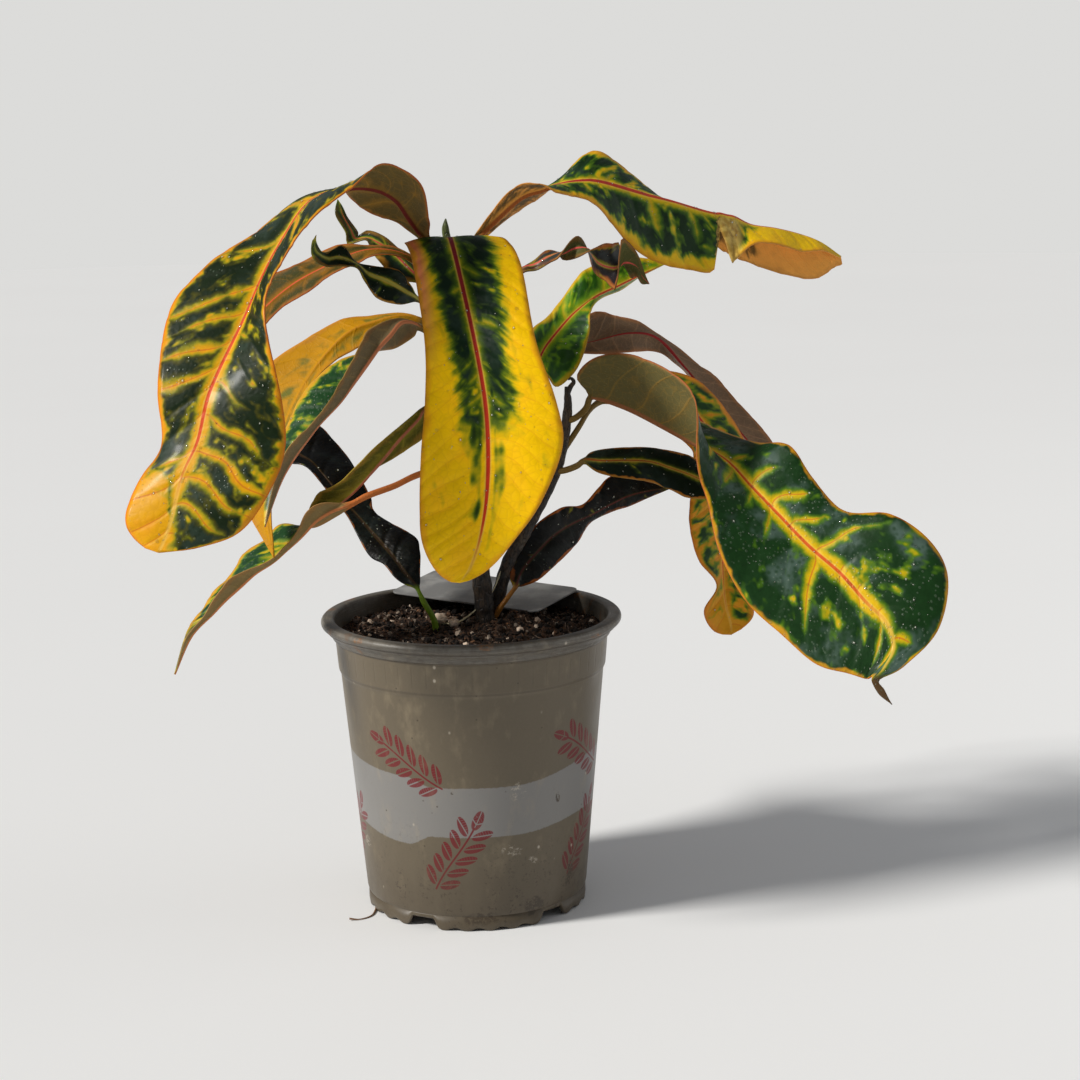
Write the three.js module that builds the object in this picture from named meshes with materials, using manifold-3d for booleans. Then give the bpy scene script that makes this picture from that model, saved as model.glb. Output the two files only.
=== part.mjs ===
// A croton in a plastic nursery pot: a forked woody stem with twenty long, folded and
// twisting leaves, potting soil, and a plain plastic card lying behind the stem.
// Millimetres, +Z up, the front of the plant towards -Y. The origin is the centre of the
// flat face under the pot.

import * as THREE from "three";
import { mergeVertices } from "three/addons/utils/BufferGeometryUtils.js";
import Module from "manifold-3d";

const wasm = await Module();
wasm.setup();

// ---- driving dimensions -------------------------------------------------------------

const TURN = 2 * Math.PI;
const GAP = 0.3; // air left between pieces that touch

const POT = {
  segments: 48,
  rimRadius: 65, // widest point of the rolled lip
  height: 128, // top of the lip
  seamRadius: 48.3, // bottom of the tapered wall
  seamHeight: 8,
  collarHeight: 104, // where the wall steps out to its collar
  bandHeight: 119, // where the collar steps out to the lip
  wall: 1.2,
  discRadius: 30, // flat face that the pot stands on
  floorRise: 5, // the floor round that face is raised this much
  floorThickness: 2.2,
};

const SKIRT = {
  outerRadius: 47.8,
  thickness: 1.8,
  topHeight: 6.8,
  feet: 5,
  gapShare: 0.13, // part of each foot's arc that is open
  firstGap: -118, // degrees, seen from above
  lobes: 30, // small scallops round the whole edge
  lobeDepth: 1.3,
  steps: 180,
};

const DRAIN = { count: 6, radius: 4, ring: 38 };

const SOIL = {
  level: 120, // height of the surface at the wall
  mound: 5, // rise beside the stem
  moundCentre: [18, 5],
  moundRadius: 17,
  lumps: 1.1, // height of the crumbs
  rings: 9,
  segments: 48,
};

const STEM = {
  sides: 10,
  // each line: [x, y, z, radius]
  trunk: [
    [7, 5, 98, 4.4],
    [6, 5, 124, 4.2],
    [3, 6, 159, 3.9],
    [-1, 7, 202, 3.7],
    [-4, 8, 245, 3.4],
    [-6, 8, 279, 2.8],
    [-7, 6, 292, 1],
  ],
  shoot: [
    [7, 7, 104, 3],
    [10, 9, 125, 3],
    [16, 10, 147, 2.8],
    [24, 11, 161, 2.6],
    [38, 12, 188, 2.3],
    [43, 12, 212, 2],
    [43, 12, 224, 1],
  ],
};

const CARD = {
  length: 76,
  width: 40,
  thickness: 0.8,
  corner: 4,
  centre: [5, 41.5, 128.2], // middle of its underside
  turn: -30, // degrees about +Z
  rise: 4.4, // degrees, its back edge higher than its front corner on the soil
  lean: -0.8, // degrees, its right end higher
};

const BLADE = {
  petioleRadius: 1.4,
  ribThickness: 1.7,
  marginThickness: 0.8,
  tipHalfWidth: 0.5,
  columns: [-1, -0.55, 0, 0.55, 1],
  rowsPerSpan: 2,
};

// ---- leaves -------------------------------------------------------------------------
// stalk: the route of the petiole, from inside the stem to the blade.
// blade: cross lines from the blade's base to its tip, each [rib point, way from the rib to
// the left margin, way to the right margin], looking along the leaf with its upper side up.
// bulge: how far each half arches to the upper side, as a share of its width.
// ripple: height of the margin's waves, of which there are `waves` along the blade.

const LEAVES = {
  leaf_left_large: {
    bulge: 0.05,
    ripple: 1.2,
    waves: 5,
    stalk: [[-5, 8, 265], [-11, 5, 281]],
    blade: [
      [[-17, 3, 290], [3, -2, 0], [-3, 2, 0]],
      [[-22, -3, 298], [9, -10, 1], [-8, 8, -2]],
      [[-27, -11, 306], [11, -16, 7], [-11, 12, -5]],
      [[-35, -20, 311], [5, -22, 10], [-11, 15, -5]],
      [[-46, -31, 312], [5, -26, 3], [-4, 19, -3]],
      [[-60, -42, 307], [8, -26, -2], [-7, 20, 1]],
      [[-71, -54, 291], [6, -24, -1], [-13, 15, 2]],
      [[-78, -65, 277], [5, -22, 1], [-23, 12, 6]],
      [[-84, -75, 263], [11, -19, 0], [-30, 10, 6]],
      [[-96, -90, 238], [28, -10, -2], [-21, 6, 2]],
      [[-101, -97, 219], [34, -6, -2], [-15, 6, -1]],
      [[-107, -102, 206], [36, -5, -3], [-17, 6, -1]],
      [[-111, -107, 190], [29, -4, -2], [-16, 5, 1]],
      [[-114, -109, 182], [16, -2, -1], [-7, 2, 0]],
      [[-116, -110, 178], [0, 0, 0], [0, 0, 0]],
    ],
  },
  leaf_front_golden: {
    bulge: 0.05,
    ripple: 1,
    waves: 4,
    stalk: [[-5, 8, 256], [-4, 3, 265]],
    blade: [
      [[-4, 1, 271], [3, 0, 0], [-3, 0, 0]],
      [[-4, -3, 282], [13, 2, -1], [-14, 2, 0]],
      [[-5, -12, 290], [20, 4, -1], [-19, 4, -1]],
      [[-2, -25, 281], [26, -3, 0], [-18, -3, 0]],
      [[5, -44, 251], [25, -7, 0], [-20, -5, 1]],
      [[9, -51, 227], [29, -6, -1], [-24, -5, 1]],
      [[10, -56, 207], [30, -5, 2], [-27, -4, -1]],
      [[9, -60, 188], [22, -5, -1], [-27, -3, -2]],
      [[6, -63, 172], [14, -3, 0], [-23, -2, -1]],
      [[2, -65, 161], [7, -1, -1], [-13, -1, -2]],
      [[-2, -66, 155], [0, 0, 0], [0, 0, 0]],
    ],
  },
  leaf_top_right_torn: {
    bulge: 0.04,
    ripple: 0.8,
    waves: 4,
    stalk: [[-6, 8, 276], [3, 11, 282]],
    blade: [
      [[7, 11, 289], [2, 1, -1], [-2, -1, 1]],
      [[23, 13, 304], [2, 12, -4], [-2, -11, 4]],
      [[33, 14, 308], [1, 15, -2], [-1, -13, 3]],
      [[41, 17, 310], [3, 16, 4], [-1, -14, -2]],
      [[51, 22, 311], [1, 14, 10], [-2, -12, -6]],
      [[60, 27, 310], [1, 12, 12], [-3, -11, -10]],
      [[80, 37, 304], [2, 15, 2], [-9, -7, -21]],
      [[91, 42, 301], [2, 13, -5], [-7, -5, -26]],
      [[103, 48, 297], [2, 10, -12], [-5, -3, -26]],
      [[110, 51, 295], [3, 9, -17], [-1, -3, -25]],
      [[112, 52, 295], [3, 9, -17], [0, -2, -8]],
      [[115, 54, 294], [3, 8, -18], [2, -6, -19]],
      [[119, 56, 293], [3, 7, -20], [0, -7, -18]],
      [[127, 61, 289], [5, 5, -20], [0, -11, -8]],
      [[138, 65, 287], [6, 4, -21], [0, -11, -7]],
      [[149, 70, 284], [7, 3, -20], [0, -9, -7]],
      [[159, 73, 280], [5, 2, -13], [0, -6, -3]],
      [[169, 78, 273], [0, 0, 0], [0, 0, 0]],
    ],
  },
  leaf_corkscrew: {
    bulge: 0.03,
    ripple: 0.3,
    waves: 3,
    stalk: [[-5, 8, 262], [15, 6, 269]],
    blade: [
      [[25, 4, 275], [0, 2, 1], [0, -2, -1]],
      [[30, 3, 277], [0, 2, 2], [1, -2, -2]],
      [[35, 1, 280], [0, 4, 3], [1, -3, -2]],
      [[40, 0, 282], [0, 8, 0], [0, -7, -1]],
      [[44, 0, 283], [-2, 2, -4], [1, -2, 4]],
      [[48, -1, 284], [-1, -2, -4], [1, 1, 5]],
      [[53, -2, 283], [1, -10, 1], [0, 9, -1]],
      [[57, -3, 278], [2, -4, 8], [-2, 4, -4]],
      [[62, -4, 276], [1, 0, 10], [-2, 2, -6]],
      [[65, -4, 276], [1, 7, 9], [-1, -5, -8]],
      [[67, -5, 278], [3, 6, -6], [-1, -7, 9]],
      [[70, -5, 278], [2, 1, -6], [-1, -4, 9]],
      [[73, -5, 276], [0, -2, -4], [0, -1, 6]],
      [[75, -5, 272], [0, -1, -3], [1, 0, 2]],
      [[78, -5, 269], [0, 0, 0], [0, 0, 0]],
    ],
  },
  leaf_right_upper: {
    bulge: 0.05,
    ripple: 0.7,
    waves: 3,
    stalk: [[-2, 7, 214], [14, 11, 221]],
    blade: [
      [[26, 14, 230], [-1, 1, 1], [1, -1, -1]],
      [[31, 18, 235], [-4, 4, 4], [3, -4, -6]],
      [[34, 21, 240], [-6, 5, 7], [5, -7, -16]],
      [[39, 24, 246], [-4, 6, 6], [9, -8, -14]],
      [[46, 29, 253], [-6, 6, 5], [7, -9, -8]],
      [[53, 34, 258], [-5, 6, 10], [1, -8, -3]],
      [[58, 38, 261], [-5, 6, 11], [1, 5, -2]],
      [[66, 43, 264], [-5, 6, 10], [2, 7, -2]],
      [[76, 50, 268], [-3, 5, 8], [1, 7, -1]],
      [[89, 58, 273], [0, 0, 0], [0, 0, 0]],
    ],
  },
  leaf_right_brown: {
    bulge: 0.05,
    ripple: 0.8,
    waves: 5,
    stalk: [[-2, 8, 225], [19, 21, 232]],
    blade: [
      [[34, 29, 237], [0, -1, -1], [0, 1, 1]],
      [[54, 37, 240], [0, -6, -4], [0, 6, 12]],
      [[71, 44, 243], [0, -4, -8], [-3, 7, 7]],
      [[84, 51, 240], [-1, 2, -6], [0, 8, 2]],
      [[96, 58, 227], [-1, 8, -2], [7, 7, 0]],
      [[108, 65, 212], [-1, 10, -2], [9, 6, 2]],
      [[131, 77, 184], [-1, 6, -3], [9, 4, 1]],
      [[152, 91, 152], [0, 0, 0], [0, 0, 0]],
    ],
  },
  leaf_right_large: {
    bulge: 0.04,
    ripple: 1.2,
    waves: 5,
    stalk: [[43, 12, 209], [47, 10, 211], [51, 8, 215]],
    blade: [
      [[53, 6, 220], [1, 3, 0], [-1, -2, 2]],
      [[57, 4, 220], [2, 14, 0], [-10, -5, 10]],
      [[64, 0, 218], [4, 20, 1], [-7, -8, 22]],
      [[74, -6, 214], [5, 22, 1], [-1, -10, 26]],
      [[94, -18, 204], [8, 17, 5], [-1, -19, 22]],
      [[108, -29, 197], [14, 8, 7], [-13, -19, 3]],
      [[118, -36, 187], [16, 4, 16], [-19, -15, -3]],
      [[129, -44, 176], [14, 4, 15], [-26, -11, -12]],
      [[140, -53, 165], [15, 4, 14], [-27, -8, -20]],
      [[152, -61, 155], [21, 5, 23], [-25, -6, -23]],
      [[161, -68, 145], [27, 5, 23], [-20, -4, -25]],
      [[169, -74, 137], [25, 4, 17], [-15, -3, -20]],
      [[171, -79, 128], [18, 2, 6], [-11, -1, -12]],
      [[167, -82, 121], [8, 0, 0], [-5, 0, -4]],
      [[163, -83, 116], [2, 0, 0], [-1, 0, -1]],
      [[166, -84, 111], [1, 0, 1], [-1, 0, -1]],
      [[170, -84, 106], [0, 0, 0], [0, 0, 0]],
    ],
  },
  leaf_right_hanging: {
    bulge: 0.05,
    ripple: 0.7,
    waves: 4,
    stalk: [[41, 12, 196], [48, 15, 206], [53, 19, 213]],
    blade: [
      [[58, 23, 216], [0, 2, 2], [1, -1, -1]],
      [[71, 30, 219], [-1, 5, 9], [1, -6, -7]],
      [[83, 35, 218], [3, 6, 9], [-2, -9, -11]],
      [[95, 39, 212], [7, 6, 9], [-5, -10, -12]],
      [[104, 40, 202], [12, 6, 4], [-6, -10, -10]],
      [[109, 39, 189], [15, 6, 2], [-11, -10, -5]],
      [[112, 36, 174], [16, 6, 0], [-15, -9, -1]],
      [[112, 32, 158], [15, 5, -1], [-16, -8, 3]],
      [[111, 28, 143], [11, 4, -2], [-11, -7, 3]],
      [[111, 24, 133], [7, 2, -1], [-3, -4, 1]],
      [[112, 21, 124], [12, 1, 0], [-10, -3, -1]],
      [[114, 19, 116], [9, 0, 2], [-8, -1, -2]],
      [[114, 17, 112], [0, 0, 0], [0, 0, 0]],
    ],
  },
  leaf_right_green: {
    bulge: 0.06,
    ripple: 0.5,
    waves: 3,
    stalk: [[37, 12, 187], [42, 10, 188], [47, 9, 190]],
    blade: [
      [[50, 9, 192], [0, 1, 1], [0, -1, -1]],
      [[57, 8, 192], [-1, 5, 4], [0, -3, -5]],
      [[76, 5, 192], [2, 6, 5], [0, -5, -8]],
      [[87, 3, 189], [3, 6, 6], [-1, -5, -8]],
      [[98, 1, 185], [2, 5, 6], [-3, -5, -8]],
      [[115, -3, 177], [0, 0, 0], [0, 0, 0]],
    ],
  },
  leaf_right_dark: {
    bulge: 0.06,
    ripple: 0.6,
    waves: 4,
    stalk: [[9, 7, 122], [12, 5, 128], [15, 5, 132]],
    blade: [
      [[19, 7, 137], [-1, 0, 0], [1, 0, 0]],
      [[20, 8, 140], [-3, -1, 1], [2, 1, -3]],
      [[23, 11, 145], [-5, -1, 2], [6, 1, -6]],
      [[29, 16, 151], [-7, -2, 3], [6, 2, -8]],
      [[36, 21, 157], [-6, -3, 7], [6, 2, -9]],
      [[44, 27, 161], [-4, -3, 8], [3, 2, -8]],
      [[53, 33, 164], [-4, -3, 5], [0, 2, -4]],
      [[63, 39, 168], [-7, -3, 7], [0, 2, -4]],
      [[73, 45, 171], [-7, -2, 9], [0, 2, -5]],
      [[91, 52, 173], [0, 0, 0], [0, 0, 0]],
    ],
  },
  leaf_left_dark: {
    bulge: 0.06,
    ripple: 0.6,
    waves: 4,
    stalk: [[-15, -1, 113], [-16, 0, 124], [-20, 0, 132]],
    blade: [
      [[-23, 2, 138], [-1, 0, 0], [1, 0, 0]],
      [[-25, 3, 141], [-3, -1, -1], [3, 1, 0]],
      [[-28, 5, 144], [-5, -1, -1], [6, 1, 2]],
      [[-33, 10, 150], [-5, -1, -2], [11, 1, 3]],
      [[-38, 15, 155], [-7, -2, -3], [13, 2, 4]],
      [[-50, 26, 166], [-4, -2, 0], [8, 3, 1]],
      [[-56, 31, 172], [-3, -3, 0], [11, 4, 2]],
      [[-70, 42, 187], [-2, -4, -1], [16, 6, 1]],
      [[-77, 48, 191], [-4, -4, -3], [15, 6, 5]],
      [[-84, 53, 198], [-3, -3, -4], [13, 5, 6]],
      [[-97, 63, 212], [0, 0, 0], [0, 0, 0]],
    ],
  },
  leaf_left_golden: {
    bulge: 0.05,
    ripple: 0.6,
    waves: 3,
    stalk: [[-4, 8, 240], [-12, 8, 248]],
    blade: [
      [[-19, 7, 254], [0, 1, 1], [0, -1, -1]],
      [[-28, 5, 256], [1, 4, 1], [-1, -3, -2]],
      [[-38, 4, 254], [-2, 6, 2], [1, -4, -6]],
      [[-49, 2, 250], [-4, 8, 5], [4, -4, -6]],
      [[-59, -2, 241], [-10, 9, 5], [4, -3, -2]],
      [[-68, -8, 229], [-16, 10, 7], [4, -3, 1]],
      [[-75, -16, 215], [-18, 10, 5], [2, -3, 0]],
      [[-80, -26, 200], [-15, 8, 2], [4, -3, 0]],
      [[-83, -37, 185], [-10, 5, -1], [3, -2, -1]],
      [[-79, -48, 163], [0, 0, 0], [0, 0, 0]],
    ],
  },
  leaf_left_folded: {
    bulge: 0.05,
    ripple: 0.6,
    waves: 4,
    stalk: [[-3, 8, 235], [-11, -1, 246]],
    blade: [
      [[-19, -7, 253], [0, 0, 1], [0, 0, -2]],
      [[-26, -12, 255], [-2, 0, 2], [5, 1, -6]],
      [[-31, -16, 250], [-7, -2, 4], [3, 3, -5]],
      [[-36, -20, 245], [-6, -4, 4], [0, 10, -2]],
      [[-45, -27, 233], [-5, -5, 2], [-8, 14, 7]],
      [[-51, -33, 225], [-3, -5, 2], [-10, 14, 9]],
      [[-59, -39, 217], [-3, -4, 1], [-10, 13, 7]],
      [[-64, -44, 211], [-3, -4, 2], [-10, 11, 4]],
      [[-70, -48, 203], [-3, -3, 3], [-8, 8, 4]],
      [[-75, -52, 194], [-2, -2, 2], [-7, 5, 3]],
      [[-81, -59, 178], [0, 0, 0], [0, 0, 0]],
    ],
  },
  leaf_left_olive: {
    bulge: 0.05,
    ripple: 0.5,
    waves: 3,
    stalk: [[-3, 7, 221], [-11, 1, 220]],
    blade: [
      [[-18, -3, 217], [-1, 0, 1], [1, 0, -1]],
      [[-21, -5, 213], [-2, -1, 2], [4, 1, -6]],
      [[-28, -8, 206], [-4, -2, 2], [3, 2, -5]],
      [[-36, -11, 197], [-6, -3, 3], [1, 4, -2]],
      [[-46, -14, 186], [-9, -3, 2], [-3, 5, 3]],
      [[-53, -15, 180], [-10, -3, 4], [-2, 4, 4]],
      [[-60, -15, 175], [-7, -2, 3], [-2, 3, 3]],
      [[-67, -15, 172], [0, 0, 0], [0, 0, 0]],
    ],
  },
  leaf_left_slender: {
    bulge: 0.05,
    ripple: 0.6,
    waves: 5,
    stalk: [[0, 7, 193], [-20, -6, 190], [-31, -12, 186], [-42, -18, 183]],
    blade: [
      [[-50, -22, 180], [0, 0, 1], [0, 0, -2]],
      [[-57, -25, 178], [-4, -3, 4], [0, 3, -4]],
      [[-64, -28, 174], [-2, -4, 5], [-3, 9, -4]],
      [[-70, -31, 168], [-1, -4, 3], [-9, 14, 3]],
      [[-76, -34, 163], [0, -4, 2], [-11, 14, 2]],
      [[-81, -37, 159], [0, -4, 2], [-13, 12, 1]],
      [[-88, -40, 155], [-3, -4, 2], [-11, 10, -1]],
      [[-94, -43, 150], [-5, -4, 3], [-11, 7, -3]],
      [[-100, -46, 145], [-4, -3, 2], [-9, 5, -2]],
      [[-105, -48, 140], [-3, -2, 0], [-8, 4, -3]],
      [[-114, -51, 131], [-2, -1, 0], [-3, 1, -1]],
      [[-121, -54, 116], [0, 0, 0], [0, 0, 0]],
    ],
  },
  leaf_left_curled: {
    bulge: 0.04,
    ripple: 0.3,
    waves: 3,
    stalk: [[-4, 8, 251], [-12, 0, 258]],
    blade: [
      [[-19, -7, 264], [0, 0, -1], [0, 0, 1]],
      [[-24, -11, 268], [-2, -4, -5], [2, 4, 2]],
      [[-32, -15, 273], [-3, -5, -7], [5, 5, 4]],
      [[-39, -18, 276], [-1, -4, -3], [2, 4, 3]],
      [[-43, -20, 280], [0, -3, -1], [-1, 3, 1]],
      [[-50, -22, 283], [1, -3, -3], [1, 4, 5]],
      [[-55, -24, 283], [-1, -2, -3], [1, 3, 3]],
      [[-59, -26, 286], [-2, -1, -2], [2, 1, 0]],
      [[-60, -27, 290], [-1, 0, 0], [1, 0, 0]],
      [[-59, -28, 293], [0, 0, 0], [0, 0, 0]],
    ],
  },
  leaf_left_hooked: {
    bulge: 0.04,
    ripple: 0.3,
    waves: 3,
    stalk: [[-5, 8, 260], [-13, 17, 266]],
    blade: [
      [[-19, 19, 270], [-1, -1, -1], [1, 1, 1]],
      [[-24, 20, 275], [-5, -4, -4], [2, 3, 3]],
      [[-31, 22, 282], [-5, -4, -4], [2, 3, 2]],
      [[-37, 23, 286], [-3, -3, -3], [2, 3, 3]],
      [[-42, 24, 288], [0, -5, 0], [0, 5, 3]],
      [[-47, 24, 288], [-3, -2, -2], [1, 3, 1]],
      [[-49, 24, 292], [-2, -2, -1], [3, 2, -1]],
      [[-52, 24, 298], [-3, -1, 0], [2, 1, -1]],
      [[-53, 24, 302], [-2, 0, 0], [1, 0, 0]],
      [[-54, 24, 305], [0, 0, 0], [0, 0, 0]],
    ],
  },
  leaf_left_orange: {
    bulge: 0.05,
    ripple: 0.6,
    waves: 4,
    stalk: [[-5, 8, 268], [-14, 12, 274]],
    blade: [
      [[-21, 9, 279], [0, 1, 2], [0, -1, -1]],
      [[-29, 7, 283], [-1, 5, 2], [1, -5, -1]],
      [[-39, 7, 284], [-1, 7, 2], [1, -7, -2]],
      [[-48, 8, 282], [-3, 8, 4], [2, -7, -3]],
      [[-59, 11, 277], [-5, 9, 5], [3, -7, -3]],
      [[-71, 15, 271], [-5, 9, 5], [4, -6, -4]],
      [[-81, 19, 264], [-8, 9, 6], [3, -5, -4]],
      [[-91, 23, 255], [-7, 8, 5], [3, -4, -4]],
      [[-101, 27, 244], [-5, 5, 4], [3, -2, -2]],
      [[-108, 31, 233], [0, 0, 0], [0, 0, 0]],
    ],
  },
  leaf_back_upper: {
    bulge: 0.06,
    ripple: 1.2,
    waves: 4,
    stalk: [[-4, 8, 246], [-4, 16, 256]],
    blade: [
      [[-4, 24, 262], [-3, 0, 0], [3, 0, 0]],
      [[-3, 34, 266], [-16, 3, 2], [15, -3, 1]],
      [[0, 50, 266], [-22, 4, 1], [21, -4, 2]],
      [[4, 68, 254], [-23, 4, -1], [22, -2, 3]],
      [[8, 82, 231], [-20, 4, -1], [21, 1, 1]],
      [[11, 90, 204], [-14, 3, 1], [15, 1, 0]],
      [[13, 94, 178], [0, 0, 0], [0, 0, 0]],
    ],
  },
  leaf_back_lower: {
    bulge: 0.06,
    ripple: 0.9,
    waves: 4,
    stalk: [[-1, 7, 206], [2, 17, 216]],
    blade: [
      [[3, 25, 220], [-2, 0, 0], [2, 0, 0]],
      [[6, 37, 221], [-11, 2, 1], [12, -1, 0]],
      [[9, 53, 212], [-15, 3, -1], [16, 0, 2]],
      [[11, 65, 193], [-14, 3, -2], [15, 2, 0]],
      [[13, 71, 172], [-9, 2, 0], [10, 1, 0]],
      [[14, 74, 152], [0, 0, 0], [0, 0, 0]],
    ],
  },
};

// ---- colours ------------------------------------------------------------------------

const finish = (color, roughness) => new THREE.MeshStandardMaterial({ color, roughness, metalness: 0 });
const COLOURS = {
  pot: finish(0x6e6252, 0.55),
  soil: finish(0x2a1d14, 0.95),
  stem: finish(0x4a3b26, 0.8),
  card: finish(0x3c3d40, 0.5),
  green: finish(0x1f4a24, 0.35),
  golden: finish(0xd8a21b, 0.4),
  olive: finish(0x6b5a2c, 0.5),
  dark: finish(0x141716, 0.3),
};
const LEAF_COLOURS = {
  leaf_front_golden: COLOURS.golden,
  leaf_left_golden: COLOURS.golden,
  leaf_left_orange: COLOURS.golden,
  leaf_right_brown: COLOURS.olive,
  leaf_left_folded: COLOURS.olive,
  leaf_left_olive: COLOURS.olive,
  leaf_left_slender: COLOURS.olive,
  leaf_left_dark: COLOURS.dark,
  leaf_right_dark: COLOURS.dark,
};

// ---- solids -------------------------------------------------------------------------

/** A closed three.js geometry as a solid for joining and cutting. */
function solidOf(geometry) {
  const bare = geometry.clone();
  for (const name of Object.keys(bare.attributes)) {
    if (name !== "position") bare.deleteAttribute(name);
  }
  const merged = mergeVertices(bare, 1e-4);
  const mesh = new wasm.Mesh({
    numProp: 3,
    vertProperties: new Float32Array(merged.attributes.position.array),
    triVerts: new Uint32Array(merged.index.array),
  });
  return new wasm.Manifold(mesh);
}

/** The geometry of a solid. */
function geometryOf(solid) {
  const mesh = solid.getMesh();
  const geometry = new THREE.BufferGeometry();
  geometry.setAttribute("position", new THREE.BufferAttribute(new Float32Array(mesh.vertProperties), 3));
  geometry.setIndex(new THREE.BufferAttribute(new Uint32Array(mesh.triVerts), 1));
  geometry.computeVertexNormals();
  return geometry;
}

/** A geometry from a flat list of points and a list of triangles. */
function geometryFrom(points, triangles) {
  const geometry = new THREE.BufferGeometry();
  geometry.setAttribute("position", new THREE.Float32BufferAttribute(points.flatMap((p) => p.toArray()), 3));
  geometry.setIndex(triangles.flat());
  geometry.computeVertexNormals();
  return geometry;
}

/** Two triangles for each cell between row i and row i + 1 of closed rings of `count` points. */
function ringWalls(rows, count) {
  const triangles = [];
  for (let i = 0; i < rows - 1; i += 1) {
    for (let j = 0; j < count; j += 1) {
      const k = (j + 1) % count;
      const a = i * count + j;
      const b = i * count + k;
      const c = (i + 1) * count + k;
      const d = (i + 1) * count + j;
      triangles.push([a, b, c], [a, c, d]);
    }
  }
  return triangles;
}

/** A fan that closes a ring of `count` points starting at `first` round its own first point. */
function fan(first, count, reversed) {
  const triangles = [];
  for (let j = 1; j < count - 1; j += 1) {
    const triangle = [first, first + j, first + j + 1];
    triangles.push(reversed ? triangle.reverse() : triangle);
  }
  return triangles;
}

const vector = (xyz) => new THREE.Vector3(...xyz);

/** Catmull-Rom through `points` at t, with t = 0 at the first and n - 1 at the last. */
function spline(points, t) {
  const last = points.length - 1;
  const i = Math.min(Math.floor(t), last - 1);
  const f = t - i;
  const p1 = points[i];
  const p2 = points[i + 1];
  const p0 = i > 0 ? points[i - 1] : p1.clone().multiplyScalar(2).sub(p2);
  const p3 = i < last - 1 ? points[i + 2] : p2.clone().multiplyScalar(2).sub(p1);
  const weights = [
    0.5 * (-f + 2 * f * f - f ** 3),
    0.5 * (2 - 5 * f * f + 3 * f ** 3),
    0.5 * (f + 4 * f * f - 3 * f ** 3),
    0.5 * (-f * f + f ** 3),
  ];
  const sum = new THREE.Vector3();
  [p0, p1, p2, p3].forEach((p, k) => sum.addScaledVector(p, weights[k]));
  return sum;
}

/** A round stem through lines of [x, y, z, radius], `extra` fatter all round and at its foot. */
function taperedTube(lines, extra) {
  const { sides } = STEM;
  const route = lines.map(([x, y, z]) => new THREE.Vector3(x, y, z));
  route[0].add(route[0].clone().sub(route[1]).setLength(extra));
  const thickness = lines.map((line) => new THREE.Vector3(line[3] + extra, 0, 0));
  const rows = 2 * (route.length - 1) + 1;
  const ring = [];
  for (let i = 0; i < rows; i += 1) {
    const t = i / 2;
    const centre = spline(route, t);
    const ahead = spline(route, Math.min(t + 0.1, route.length - 1));
    const along = ahead.sub(spline(route, Math.max(t - 0.1, 0))).normalize();
    const right = new THREE.Vector3(0, 1, 0).cross(along).normalize();
    const front = along.clone().cross(right);
    const radius = spline(thickness, t).x;
    for (let j = 0; j < sides; j += 1) {
      const angle = (TURN * j) / sides;
      const point = centre.clone().addScaledVector(right, radius * Math.cos(angle));
      ring.push(point.addScaledVector(front, radius * Math.sin(angle)));
    }
  }
  const last = (rows - 1) * sides;
  const triangles = [...ringWalls(rows, sides), ...fan(0, sides, true), ...fan(last, sides, false)];
  return geometryFrom(ring, triangles);
}

// ---- the pot ------------------------------------------------------------------------

/** Half section of the pot, from the axis under the floor round to the axis above it. */
function potProfile() {
  const { seamRadius, seamHeight, collarHeight, bandHeight, height, rimRadius, wall } = POT;
  const collar = 57; // outer radius under the collar
  const band = 59; // outer radius under the lip
  return [
    [0, 0],
    [POT.discRadius, 0],
    [POT.discRadius + 2, POT.floorRise],
    [seamRadius - 1.6, POT.floorRise],
    [seamRadius - 0.4, seamHeight - 1.4],
    [seamRadius, seamHeight],
    [collar, collarHeight],
    [collar + 0.9, collarHeight + 1.8],
    [band, bandHeight],
    [band + 1.1, bandHeight + 0.8],
    [band + 1.6, bandHeight + 3],
    [rimRadius - 1.8, height - 4],
    [rimRadius - 0.4, height - 3.1],
    [rimRadius, height - 2],
    [rimRadius - 0.6, height - 0.7],
    [rimRadius - 2.2, height],
    [rimRadius - 4.6, height],
    [rimRadius - 5.7, height - 0.6],
    [rimRadius - 6.3, height - 4],
    [band - wall, bandHeight - 1],
    [collar + 0.9 - wall, collarHeight + 2.4],
    [collar - wall, collarHeight - 0.6],
    [seamRadius - wall, seamHeight + 1.2],
    [seamRadius - wall - 0.9, POT.floorRise + POT.floorThickness],
    [POT.discRadius + 3, POT.floorRise + POT.floorThickness],
    [POT.discRadius + 1, POT.floorThickness],
    [0, POT.floorThickness],
  ];
}

/** Height of the skirt's lower edge: feet down to z = 0, gaps between them, small scallops. */
function skirtEdge(angle) {
  const turned = angle - THREE.MathUtils.degToRad(SKIRT.firstGap);
  const share = THREE.MathUtils.euclideanModulo((turned * SKIRT.feet) / TURN, 1);
  const fromGap = Math.min(share, 1 - share);
  const open = 1 - THREE.MathUtils.smoothstep(fromGap, SKIRT.gapShare / 2, SKIRT.gapShare);
  const lobe = SKIRT.lobeDepth * Math.sin((SKIRT.lobes * turned) / 2) ** 2;
  return Math.min(lobe + (SKIRT.topHeight - 2) * open, SKIRT.topHeight - 2);
}

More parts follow.
